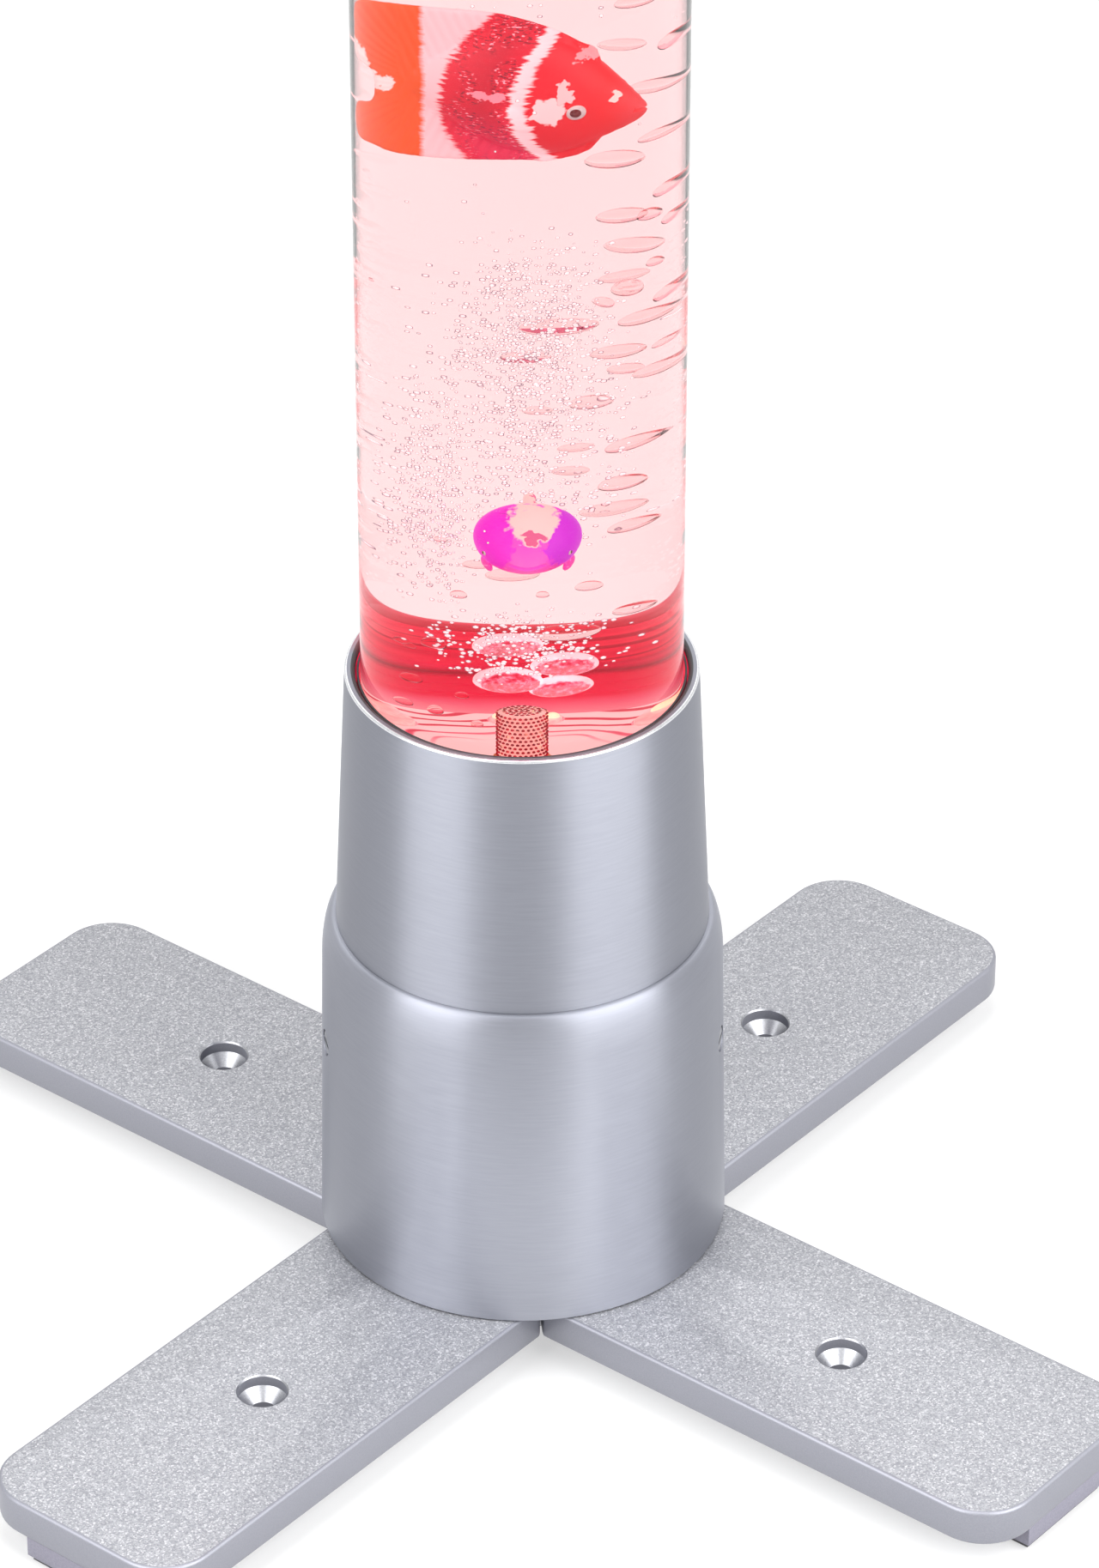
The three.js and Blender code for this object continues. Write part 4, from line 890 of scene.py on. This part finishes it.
tube = turned("water_tube", [
    (40, 150.3), *quarter((39.6, 1149.6), 0.4, 0, 90, 3), *quarter((37.4, 1149.6), 0.4, 90, 180, 3),
    (37, tank["waterLevel"]), (37, tank["bulkheadTop"]), (37, 150.3), (37.3, 150), (39.7, 150), (40, 150.3),
], 192)
dress(tube, acrylic, wetAcrylic)
paintFaces(tube, 1, ringTest(0, 37.2, tank["bulkheadTop"], tank["waterLevel"]))
addPiece(tube, "lamp", ["water_tube"])

grooves = []
for level in (171.5, 169.0, 166.4):
    grooves += [(33.5, level + 0.3), (33.7, level), (33.5, level - 0.3)]
bulkhead = turned("tube_bulkhead", [
    (34.5, 150), (36.7, 150), (36.7, 173.3), (36.4, 173.6), (34.1, 173.6), (33.5, 173.0), *grooves,
    (33.5, 161.5), (33.0, tank["floor"]), (2.7, tank["floor"]), (2.7, 156), (34.5, 156), (34.5, 150),
], 144)
# only the groups that the photograph shows lit are warm
lenses = {"ring": 28.8, "first": 83.3, "groups": 9, "hole": 4.7, "spacing": 3.2, "dots": 3, "warm": (0, 8)}
lensTurns = [math.radians(lenses["first"] + 360 * i / lenses["groups"]) for i in range(lenses["groups"])]
cutOut(bulkhead, *[makeRod(lenses["hole"], 12, polar(lenses["ring"], turn, 158.5)) for turn in lensTurns])
dress(bulkhead, redAcrylic, pinkFloor)
paintFaces(bulkhead, 1, lambda face: face.normal.z > 0.9 and abs(face.center.z / mm - tank["floor"]) < 1)
addPiece(bulkhead, "lamp", ["tube_bulkhead"])

lensRing = turned("lens_ring", [
    (24.2, 152.8), (33.4, 152.8), (33.4, 155.7), (24.2, 155.7), (24.2, 152.8),
], 96)
dress(lensRing, lensBody, lensDot)
parts = []
for number, turn in enumerate(lensTurns):
    post = turned("post", [(0, 154), (4.4, 154), *quarter((4.1, 161.5), 0.3, 0, 90, 3), (0, 161.8)], 40)
    dots = []
    for i in range(lenses["dots"]):
        dot = turned("dot", [(0, 161.2), (0.95, 161.2), (0.95, 161.9),
                             (0.88, 162.35), (0.66, 162.8), (0.35, 163.1), (0, 163.2)], 20, 60)
        dress(dot, lensBody, lensDot)
        if number in lenses["warm"]:
            paintFaces(dot, 1)
        placeInMesh(dot, move=(0, (i - 1) * lenses["spacing"], 0))
        dots.append(dot)
    group = joinPieces(dress(post, lensBody, lensDot), dots)
    placeInMesh(group, (0, 0, turn), polar(lenses["ring"], turn))
    parts.append(group)
addPiece(joinPieces(lensRing, parts), "lamp", ["lens_ring"])

stone = turned("air_stone", [
    (0, 163.2), (3.8, 163.2), (4.2, 163.6), (4.2, 176.0), (3.6, 176.5), (0, 176.5),
], 48)
# rings of beads: distance from the axis, level, beads in the ring, their radius and a shift by half a bead
wallBeads = {"reach": 4.25, "radius": 0.37, "first": 163.9, "spacing": 1.08, "rows": 12, "beads": 27}
rings = [
    (wallBeads["reach"], wallBeads["first"] + row * wallBeads["spacing"], wallBeads["beads"], wallBeads["radius"],
     0.5 * (row % 2))
    for row in range(wallBeads["rows"])
]
rings += [(reach, 176.3, count, 0.5, 0) for reach, count in ((3.1, 19), (2.1, 13), (1.1, 7), (0, 1))]
beads = bmesh.new()  # hundreds of grains, so each has few faces
for reach, level, count, radius, shift in rings:
    for i in range(count):
        where = Matrix.Translation(polar(reach, 2 * math.pi * (i + shift) / count, level) * mm)
        bmesh.ops.create_icosphere(beads, subdivisions=1, radius=radius * mm, matrix=where)
grains = meshPiece(beads, "grains")
dress(stone, stoneGround, stoneGrain)
paintFaces(dress(grains, stoneGround, stoneGrain), 1)
addPiece(joinPieces(stone, [grains]), "lamp", ["air_stone"])

level = tank["waterLevel"]
water = turned("water", [
    (0, 161.15), (2.9, 161.15), (33.2, 161.15), (33.35, 161.4), (33.35, 173.8), (36.9, 173.8),
    (36.9, level + 1.2), (35.9, level + 0.4), (34.2, level), (0, level),
], 144)
dress(water, waterSide, waterTop)
paintFaces(water, 1, lambda face: face.normal.z > 0.3 and face.center.z > 1.1)
addPiece(water, "lamp")
print("tank is made")


# Cap with vents on top of the tube

cap = turned("cap_shell", [
    (0, 1161), (37, 1161), (37, 1150.3), (40.5, 1150.3), (40.5, 1140.3), (41.7, 1140.3), (41.7, 1131.7),
    (40.5, 1131.7), (40.5, 1126.3), (40.8, 1126), (43.6, 1126), (44, 1126.4),
    *quarter((40.2, 1161.6), 2.4, 3, 90, 8),
    (26.4, 1164), (25.8, 1163.8), (24.8, 1162.9), (24.2, 1162.8), (0, 1162.8),
], 192)
vents = {"count": 6, "reach": 16, "radius": 1.7, "level": 1162}
cutOut(cap, *[
    makeRod(vents["radius"], 12, polar(vents["reach"], 2 * math.pi * i / vents["count"], vents["level"]), sides=32)
    for i in range(vents["count"])
])
addPiece(dress(cap, satinSilver), "cap", ["cap_shell"])


# Fish: a body of oval sections with a fin plate, melted together, then rays, eyes and painted bands

bodyShares = [
    (-0.30, 0.0, 0.06, 0.06), (-0.24, 0.0, 0.22, 0.24), (-0.13, 0.0, 0.50, 0.60), (-0.01, 0.0, 0.76, 0.90),
    (0.10, -0.02, 0.84, 1.0), (0.20, -0.06, 0.78, 0.95), (0.28, -0.08, 0.66, 0.84), (0.35, -0.11, 0.48, 0.66),
    (0.41, -0.15, 0.32, 0.46), (0.465, -0.19, 0.16, 0.26), (0.498, -0.2, 0.05, 0.08),
]
finShares = [
    (-0.48, 0.456), (-0.294, 0.5), (-0.058, 0.497), (0.053, 0.469), (0.18, 0.387), (0.273, 0.287),
    (0.338, 0.172), (0.338, -0.37), (0.18, -0.5), (0.095, -0.492), (-0.29, -0.5), (-0.394, -0.474),
    (-0.482, -0.44), (-0.5, -0.3), (-0.479, -0.215), (-0.4, -0.17), (-0.4, 0.02), (-0.488, 0.092), (-0.5, 0.28),
]

fishKinds = {
    # place and yaw are the CAD fish's own, and swim says how far it goes down and up. Bands run from tail to
    # nose, in millimetres from the middle. A spot has its middle, its reach each way and its colour.
    "fish_clown": {
        "body": "clown", "swim": (60, 55), "size": (54, 39, 15), "place": (-4.7, 0.5, 348), "yaw": -6,
        "finShare": 1, "bend": 0.02, "bendMiddle": -3.3, "ragged": 4.5, "eye": 0.8,
        "tail": (-12.2, "#E2520E"),
        "bands": [(-27, "#F6CCD0"), (-9.8, "#F4C8CE"), (-8.9, "#D40A30"), (-2, "#C0062C"), (2.4, "#D00A30"),
                  (3.1, "#FBDDE2"), (5.4, "#F8D4DA"), (6.2, "#D80A26"), (10, "#D80E26"), (20, "#DC1220"),
                  (27, "#D83A42")],
        "spots": [((9.8, 0, -4.4), (3.3, 99, 3.6), "#F4D4D6"), ((12.6, 0, 0.4), (1.3, 99, 3.4), "#F2C6C8"),
                  ((16.4, 0, 8.5), (2.6, 99, 1.4), "#EE9CA2"), ((21.4, 0, -2.7), (1.0, 99, 1.3), "#F6D6D0"),
                  ((-26.5, 0, 2.2), (4.2, 99, 6.0), "#FBE0DE"), ((-21.8, 0, -1.2), (4.8, 99, 2.4), "#FBE0DE"),
                  ((-1.5, 0, -0.5), (3.4, 99, 1.2), "#EE94A4")],
        "belly": "#E02C60", "strokes": "#6A0420", "strokesEnd": 2.0, "glints": "#F8B8C8",
    },
    "fish_purple": {
        "body": "purple", "swim": (36, 28), "size": (33, 21, 20), "place": (1.1, 0, 228), "yaw": -96,
        "finShare": 0.4, "bend": 0.004, "bendMiddle": 0, "ragged": 0.8, "eye": 0.35,
        "bands": [(-16, "#B010D8"), (-6, "#CC10D8"), (2, "#E810D0"), (9, "#E818C8"), (16, "#F060C8")],
        "spots": [((6, 8.5, 1.0), (99, 5.5, 8.0), "#C414D8"), ((6, -8.5, 1.0), (99, 6.0, 8.5), "#E608D2"),
                  ((10, 1, 4.8), (99, 4.8, 4.0), "#F0CCC8"), ((12, 1.5, 2.6), (99, 2.4, 1.0), "#D05C8C"),
                  ((10, 0, -9.8), (99, 5.5, 1.8), "#E82C80")],
        "belly": "#F0508C", "strokes": "#7A10A0", "strokesEnd": 12, "glints": "#F8C8F4", "sideFin": (0.36, -0.4),
    },
    "fish_yellow": {
        "body": "yellow", "swim": (55, 65), "size": (50, 36, 12), "place": (3, 2, 500), "yaw": 196,
        "finShare": 1, "eye": 1, "bend": 0.01, "bendMiddle": -4, "ragged": 1.0,
        "bands": [(-25, "#F4C31C"), (-8, "#FFD838"), (5, "#FFDE50"), (6, "#2B2B30"), (8.5, "#2B2B30"),
                  (9.2, "#FFE268"), (25, "#FFEFA0")],
        "spots": [((11.0, 0, -11.0), (4.0, 99, 4.0), "#FFF6D8")],
        "belly": "#FFF0B0", "strokes": "#D79A08", "glints": "#FFF0A8",
    },
    "fish_blue": {
        "body": "blue", "swim": (90, 80), "size": (54, 31, 13), "place": (-3, -2, 700), "yaw": 28,
        "finShare": 1, "eye": 1, "bend": 0.008, "bendMiddle": -2, "ragged": 1.4,
        "bands": [(-27, "#FFD22E"), (-19, "#FFD22E"), (-18, "#1E3EC8"), (-4, "#1747D8"), (6, "#2458E8"),
                  (12, "#142A86"), (14, "#2C64EE"), (27, "#5A8CF8")],
        "spots": [((2.0, 0, 6.0), (9.0, 99, 2.6), "#10206A"), ((13.0, 0, -8.0), (3.6, 99, 3.2), "#8EB2FF")],
        "belly": "#6E9CFF", "strokes": "#0E2470", "glints": "#7CA4FF",
    },
    "fish_orange": {
        "body": "orange", "swim": (90, 90), "size": (46, 32, 14), "place": (2, 3, 905), "yaw": 150,
        "finShare": 1, "eye": 1, "bend": 0.012, "bendMiddle": -5, "ragged": 1.2,
        "bands": [(-23, "#FF9A3C"), (-10, "#FF7A1C"), (0, "#FF6A10"), (3, "#FFF1E4"), (6, "#FFF1E4"),
                  (6.8, "#FF7A1C"), (23, "#FFB070")],
        "spots": [((12.0, 0, -9.0), (3.8, 99, 3.4), "#FFF3E2")],
        "belly": "#FFC48A", "strokes": "#C84A08", "glints": "#FFC488",
    },
}


def fishPaint(name, kind):
    # glossy sprayed PVC: brushed bands that bend round the body, and a paler belly
    material, tree, shader, place = startMaterial(name + "_paint")
    length, tall, wide = kind["size"]
    local = addNode(
        tree, "Mapping",
        {"vector_type": "TEXTURE", "Location": Vector(kind["place"]) * mm,
         "Rotation": (0, 0, math.radians(kind["yaw"])), "Scale": (mm, mm, mm)},
        {"Vector": place},
    )
    axes = addNode(tree, "SeparateXYZ", links={0: local})
    off = addNode(tree, "Math", {"operation": "SUBTRACT", 1: kind["bendMiddle"]}, {0: (axes, "Z")})
    square = addNode(tree, "Math", {"operation": "MULTIPLY"}, {0: off, 1: off})
    bent = addNode(tree, "Math", {"operation": "MULTIPLY_ADD", 1: -kind["bend"]}, {0: square, 2: (axes, "X")})
    brushed = addNode(tree, "Mapping", {"Scale": (0.2, 0.5, 1.6)}, {"Vector": local})
    ragged = addNode(tree, "TexNoise", {"Scale": 1.0, "Detail": 3.0}, {"Vector": brushed})
    ragged = addNode(
        tree, "Math", {"operation": "MULTIPLY_ADD", 1: kind["ragged"], 2: -kind["ragged"] / 2}, {0: ragged},
    )
    along = addNode(tree, "Math", {"operation": "ADD"}, {0: bent, 1: ragged})
    share = addNode(tree, "MapRange", {"From Min": -length / 2, "From Max": length / 2}, {"Value": along})
    bands = addNode(tree, "ValToRGB", links={"Fac": share})
    setColors(bands, [((x + length / 2) / length, color) for x, color in kind["bands"]])

    # short dark strokes and painted pale glints, about a millimetre long, in patches on the flanks
    dashes = addNode(tree, "Mapping", {"Scale": (1.0, 1.0, 2.6)}, {"Vector": local})
    dashes = addNode(tree, "TexNoise", {"Scale": 1.0, "Detail": 1.0}, {"Vector": dashes})
    strokes = addNode(tree, "MapRange", {"From Min": 0.58, "From Max": 0.63, "To Max": 0.8}, {"Value": dashes})
    glints = addNode(tree, "MapRange", {"From Min": 0.36, "From Max": 0.31, "To Max": 0.9}, {"Value": dashes})
    patches = addNode(tree, "TexNoise", {"Scale": 0.16, "Detail": 1.0}, {"Vector": local})
    patches = addNode(tree, "MapRange", {"From Min": 0.42, "From Max": 0.52}, {"Value": patches})
    last = kind.get("strokesEnd", length * 0.1)
    flank = addNode(tree, "MapRange", {"From Min": last + 1, "From Max": last}, {"Value": along})
    front = addNode(tree, "MapRange", {"From Min": -length * 0.2, "From Max": -length * 0.1}, {"Value": along})
    belly = addNode(
        tree, "MapRange", {"From Min": -tall * 0.08, "From Max": -tall * 0.42, "To Max": 0.55},
        {"Value": (axes, "Z")},
    )
    layers = []
    for amount, masks, tone in (
        (strokes, (patches, flank, front), kind["strokes"]),
        (glints, (patches, flank, front), kind["glints"]),
        (belly, (flank, front), kind["belly"]),
    ):
        for mask in masks:
            amount = addNode(tree, "Math", {"operation": "MULTIPLY"}, {0: amount, 1: mask})
        layers.append((amount, tone))
    raised = addNode(tree, "Math", {"operation": "MULTIPLY", 1: -1.0}, {0: layers[0][0]})
    relief = addNode(tree, "Bump", {"Strength": 0.5, "Distance": 0.15 * mm}, {"Height": raised})

    if "tail" in kind:
        start, tone = kind["tail"]
        straight = addNode(tree, "Math", {"operation": "MULTIPLY_ADD", 1: 0.4}, {0: ragged, 2: (axes, "X")})
        behind = addNode(tree, "MapRange", {"From Min": start + 0.5, "From Max": start - 0.5}, {"Value": straight})
        layers.append((behind, tone))
    wobble = addNode(tree, "TexNoise", {"Scale": 0.45, "Detail": 2.0}, {"Vector": local})
    wobbled = addNode(
        tree, "VectorMath", {"operation": "MULTIPLY_ADD", 1: (5, 5, 5)}, {0: (wobble, "Color"), 2: local},
    )
    for middle, reach, tone in kind["spots"]:
        moved = addNode(tree, "VectorMath", {"operation": "SUBTRACT", 1: [m + 2.5 for m in middle]}, {0: wobbled})
        scaled = addNode(tree, "VectorMath", {"operation": "MULTIPLY", 1: [1 / r for r in reach]}, {0: moved})
        away = addNode(tree, "VectorMath", {"operation": "LENGTH"}, {0: scaled})
        inside = addNode(tree, "MapRange", {"From Min": 1.0, "From Max": 0.85}, {"Value": (away, "Value")})
        layers.append((inside, tone))
    color = (bands, 0)
    for amount, tone in layers:
        color = (addNode(tree, "Mix", {"data_type": "RGBA", 7: hexColor(tone)}, {0: amount, 6: color}), 2)
    # a painted glow in the paint's own colours stands for the tank's light on the soft plastic
    setNode(
        shader, {"Emission Strength": 0.5, "Roughness": 0.45},
        {"Base Color": color, "Emission Color": color, "Normal": relief},
    )
    return material


# Eye enamels, sprayed and glossy
eyeWhite = grainFinish("eyeWhiteEnamel", dark="#F2ECEC", light="#FFFFFF", grain=1.0, rough=(0.15, 0.25), bump=0.02)
eyeDark = grainFinish("eyeDarkEnamel", dark="#6A0814", light="#8A0C1C", grain=1.0, rough=(0.1, 0.2), bump=0.02)


def ovalPart(name, radii, centre, turn=(0, 0, 0), segments=24, rings=14):
    clearSelection()
    bpy.ops.mesh.primitive_uv_sphere_add(segments=segments, ring_count=rings, radius=mm)
    return sizeAndPlace(name, radii, centre, turn)


def makeFish(name, kind):
    length, tall, wide = kind["size"]
    clearSelection()
    bpy.ops.mesh.primitive_circle_add(vertices=28, radius=mm, fill_type="NGON", rotation=(0, math.pi / 2, 0))
    bpy.ops.object.transform_apply(location=False, rotation=True, scale=False)
    bpy.ops.object.mode_set(mode="EDIT")
    bpy.ops.mesh.select_all(action="SELECT")
    here, size = Vector((0, 0, 0)), (1, 1)
    for i, (along, middle, high, deep) in enumerate(bodyShares):
        there = Vector((along * length, 0, middle * tall)) * mm
        if i:
            bpy.ops.mesh.extrude_region_move(TRANSFORM_OT_translate={"value": there - here})
        else:
            bpy.ops.transform.translate(value=there)
        grown = (deep * wide / 2, high * tall / 2)
        bpy.ops.transform.resize(value=(1, grown[0] / size[0], grown[1] / size[1]), center_override=there)
        here, size = there, grown
    body = closeMesh("body")
    modify(body, "SUBSURF", levels=2, render_levels=2)

    outline = smoothLoop([(x * length, z * tall * kind["finShare"]) for x, z in finShares])
    fins = plate("fins", outline, -0.8, 0.8)
    soften(fins, 0.5, 2)
    placeInMesh(fins, (math.pi / 2, 0, 0))
    sideFins = []
    out, low = kind.get("sideFin", (0.47, -0.16))
    for side in (-1, 1):
        sideFins.append(ovalPart(
            "sideFin", (length * 0.085, 0.7, tall * 0.07),
            (length * 0.08, side * wide * out, tall * low), (0, 0.35, -side * 0.3),
        ))
    fish = joinPieces(body, [fins, *sideFins])
    fish.name = name
    mouth = makeBox((5, wide, 0.8), (length * 0.5, 0, -tall * 0.2), (0, 0.25, 0))
    modify(fish, "REMESH", mode="VOXEL", voxel_size=0.42 * mm)
    cutOut(fish, mouth)
    modify(fish, "SMOOTH", factor=0.5, iterations=5)
    for vertex in fish.data.vertices:  # fin rays, as low ridges about 2 mm apart
        x, y, z = vertex.co / mm
        if abs(y) < 1.15:
            onTail = x < -0.3 * length
            ray = math.atan2(z, x + 0.16 * length) * 0.3 * length if onTail else x + 0.35 * abs(z)
            vertex.co.y *= 1 + 0.2 * math.sin(2 * math.pi * ray / 2.0)
    dress(fish, fishPaint(name, kind), eyeWhite, eyeDark)
    shadeSmooth(fish)
    eyes = []
    eyeX, eyeY, eyeZ = 0.268 * length, 0.3906 * wide, -0.125 * tall
    big = kind["eye"]
    for side in (-1, 1):
        ball = ovalPart("eyeball", (2.5 * big, 1.4 * big, 2.5 * big), (eyeX, side * eyeY, eyeZ))
        iris = ovalPart("iris", (1.5 * big, 1.2 * big, 1.5 * big), (eyeX + 0.1, side * (eyeY + 0.62 * big), eyeZ))
        for part, index in ((ball, 1), (iris, 2)):
            paintFaces(dress(part, eyeWhite, eyeWhite, eyeDark), index)
            shadeSmooth(part)
            eyes.append(part)
    fish = joinPieces(fish, eyes)
    placeInMesh(fish, (0, 0, math.radians(kind["yaw"])), kind["place"])
    return fish


for name, kind in fishKinds.items():
    addPiece(makeFish(name, kind), kind["body"], [name])
print("fish are made")


# Bubbles

bubbles = {
    "count": 130, "levels": (395, 1090), "reach": (8, 30), "radius": (1.2, 3.8),  # of those above the picture
    # x, y, z of the middle, half width, half height, tilt in degrees, all in the camera's upright plane
    "domes": [
        (0.6, 24.0, 184.5, 4.7, 3.4, 8), (7.8, 23.3, 178.6, 4.4, 3.6, -4), (0.6, 24.0, 174.2, 4.6, 4.2, 0),
        (7.4, 23.2, 172.4, 4.2, 3.2, 6),
    ],
    "lenses": [
        (17.1, 18.3, 360.5, 2.6, 1.8, 0), (21.7, 17.8, 348.9, 2.4, 1.6, 60), (15.4, 18.5, 349.8, 3.2, 1.1, -15),
        (19.2, 18.1, 337.6, 3.3, 1.5, -10), (20.2, 18.0, 324.7, 2.8, 1.4, 15), (14.4, 18.6, 319.6, 3.9, 2.3, -10),
        (21.3, 17.9, 309.9, 2.4, 1.6, 45), (15.3, 18.5, 304.4, 3.3, 1.9, -10), (18.8, 17.9, 303.6, 1.5, 1.9, 0),
        (21.9, 16.6, 302.3, 1.9, 1.2, 60), (16.7, 18.3, 296.1, 3.8, 1.5, -20), (19.4, 18.1, 290.4, 1.0, 1.5, 0),
        (15.6, 18.5, 288.1, 3.2, 1.1, 0), (20.5, -22.3, 301.0, 4.0, 2.0, -5), (21.3, 17.9, 281.8, 2.6, 1.5, 50),
        (12.8, 22.8, 280.1, 1.8, 1.1, -45), (18.3, 18.2, 276.0, 3.4, 1.8, 5), (21.5, 14.6, 269.4, 1.9, 1.0, 20),
        (14.4, 22.6, 266.0, 3.3, 1.6, -5), (20.0, 18.0, 261.1, 3.3, 1.5, 5), (15.6, 20.4, 261.9, 2.3, 1.2, -15),
        (7.2, 23.4, 274.2, 5.2, 1.3, 0), (3.0, 23.8, 266.1, 3.4, 1.1, 0), (4.5, 23.7, 251.3, 2.0, 1.1, 0),
        (11.3, 22.9, 252.7, 2.8, 2.0, 0), (16.2, 22.4, 240.0, 3.3, 1.8, 15), (9.4, 23.1, 240.6, 2.4, 0.9, 0),
        (8.7, 23.2, 234.2, 2.5, 1.0, -5), (14.9, 22.6, 229.1, 2.8, 2.2, 0), (13.7, 22.7, 222.4, 4.0, 1.2, 0),
        (16.0, 22.4, 216.9, 2.8, 1.7, 10), (-3.3, 24.5, 207.7, 2.0, 1.1, 5), (1.2, 24.0, 205.1, 3.6, 1.5, 5),
        (11.0, 23.0, 201.0, 1.8, 1.5, 0), (16.1, 22.4, 192.9, 2.3, 1.4, 0), (8.1, 23.3, 188.1, 4.4, 1.7, 0),
    ],
    "crescents": [(7.2, 23.4, 274.2), (3.0, 23.8, 266.1)],  # the middles of two of the lenses
    "rings": [
        (-8.7, 25.0, 183.8, 1.5), (-12.2, 25.4, 183.1, 0.8), (-11.4, 25.3, 182.2, 0.7), (-11.2, 25.3, 172.7, 1.2),
        (-12.0, 25.4, 165.4, 1.0), (-12.3, 11.4, 170.7, 1.3), (-5.3, 24.7, 169.6, 0.9), (-5.9, 10.7, 167.8, 1.0),
        (-5.7, 24.7, 198.7, 1.1), (5.1, 23.6, 199.3, 0.9), (-7.9, 25.0, 214.0, 0.8), (-20.0, 16.2, 286.9, 0.4),
    ],
}


def makeBubble(radius, half, tilt, place):
    # a rising bubble: domed above, flatter below, turned to the photograph's side
    bubble = ovalPart("bubble", (radius, radius, half), (0, 0, 0), segments=28, rings=18)
    for vertex in bubble.data.vertices:
        if vertex.co.z < 0:
            vertex.co.z *= 0.55
    placeInMesh(bubble, (0, math.radians(-tilt), azimuth), place)
    shadeSmooth(bubble)
    return bubble


def clearOfFish(x, y, z, radius):
    # outside every fish, wherever it swims
    for kind in fishKinds.values():
        length, tall, wide = kind["size"]
        down, up = kind["swim"]
        turn = math.radians(kind["yaw"])
        dx, dy = x - kind["place"][0], y - kind["place"][1]
        along = abs(dx * math.cos(turn) + dy * math.sin(turn))
        across = abs(dy * math.cos(turn) - dx * math.sin(turn))
        low = kind["place"][2] - tall / 2 - down - radius - 1
        high = kind["place"][2] + tall / 2 + up + radius + 1
        if along < length / 2 + radius + 1 and across < wide / 2 + radius + 1 and low < z < high:
            return False
    return True


group = [makeBubble(r, h, tilt, (x, y, z)) for x, y, z, r, h, tilt in bubbles["domes"]]
domes = joinPieces(group[0], group[1:])
domes.name = "dome_bubbles"
addPiece(dress(domes, foamPaintedLight), "lamp")

chance = random.Random(7)
group = [makeBubble(r, h, tilt, (x, y, z)) for x, y, z, r, h, tilt in bubbles["lenses"]]
group += [makeBubble(r, r / 0.8, 0, (x, y, z)) for x, y, z, r in bubbles["rings"]]
while len(group) < bubbles["count"]:
    z = chance.uniform(*bubbles["levels"])
    turn = chance.uniform(0, 2 * math.pi)
    away = chance.uniform(*bubbles["reach"])
    radius = chance.uniform(*bubbles["radius"])
    x, y = away * math.cos(turn), away * math.sin(turn)
    if clearOfFish(x, y, z, radius):
        group.append(makeBubble(radius, radius * chance.uniform(0.35, 0.7), chance.uniform(-25, 25), (x, y, z)))
rising = joinPieces(group[0], group[1:])
rising.name = "rising_bubbles"
dress(rising, bubbleSkin, bubbleRedReflection, bubbleCrimsonReflection)
# the lower front faces of the bubbles get the painted red reflection
paintFaces(rising, 1, lambda face: face.normal.z < 0.1 and face.normal.y < -0.3)
crescents = [Vector(place) * mm for place in bubbles["crescents"]]
# two of the lens bubbles get the painted crimson reflection on their lower faces
paintFaces(rising, 2, lambda face: face.normal.z < 0.3 and face.normal.y < 0
           and min((face.center - place).length for place in crescents) < 5.4 * mm)
addPiece(rising, "lamp")

# x and y as middle and spread, z as lowest, highest and usual level; the clouds lean back by their share of y
swarms = [
    {"upTo": 1900, "x": (3, 5.5), "y": (16, 9), "z": (215, 312, 270), "lean": 0.45},
    {"upTo": 2600, "x": (-14, 2.2), "y": (6, 12), "z": (205, 275, 235), "lean": 0.45},
    # froth round the big bubbles
    {"upTo": 3100, "x": (2, 5.5), "y": (22, 3), "z": (176, 196, 184), "lean": 0},
    {"upTo": 3800, "x": (2, 13), "y": (8, 14), "z": (300, 1095, 420), "lean": 0},
]
cloud = bmesh.new()  # hundreds of tiny bubbles, so each has few faces
count = 0
for swarm in swarms:
    while count < swarm["upTo"]:
        x, y = chance.gauss(*swarm["x"]), chance.gauss(*swarm["y"])
        z = chance.triangular(*swarm["z"]) - swarm["lean"] * y
        radius = chance.uniform(0.2, 0.5)
        if math.hypot(x, y) < 35 and z > 176 and clearOfFish(x, y, z, radius):
            where = Matrix.Translation(Vector((x, y, z)) * mm)
            bmesh.ops.create_icosphere(cloud, subdivisions=1, radius=radius * mm, matrix=where)
            count += 1
addPiece(dress(meshPiece(cloud, "tiny_bubbles"), mistPaintedShading), "lamp")
print("bubbles are made")


# The CAD's own pieces that keep their shape

kept = {
    "hub_plate": plateSteel, "base_chassis": chassisNylon, "cap_seal": sealRubber, "light_board": boardGreen,
    "control_board": boardGreen, "air_nipple": brass, "air_hose_lower": silicone, "air_hose_upper": silicone,
    "check_valve": whitePlastic, "light_wire": wireJacket, "pump_wire": wireJacket, "mode_switch": blackPlastic,
    "pump_case": blackPlastic, "pump_valve_box": blackPlastic, "pump_core": coreSteel, "pump_coil": copper,
    "pump_arm": whitePlastic, "arm_magnet": ferrite, "arm_pivot_pin": zincSteel, "pump_bellows": sealRubber,
    "pump_mount_left": sealRubber, "pump_mount_right": sealRubber,
}
for corner in legs["turns"]:
    kept["leg_bolt_" + corner] = zincSteel
    kept["foot_pad_" + corner] = padRubber
for name, material in kept.items():
    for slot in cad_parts[name].material_slots:
        slot.material = material
print("kept pieces are dressed")
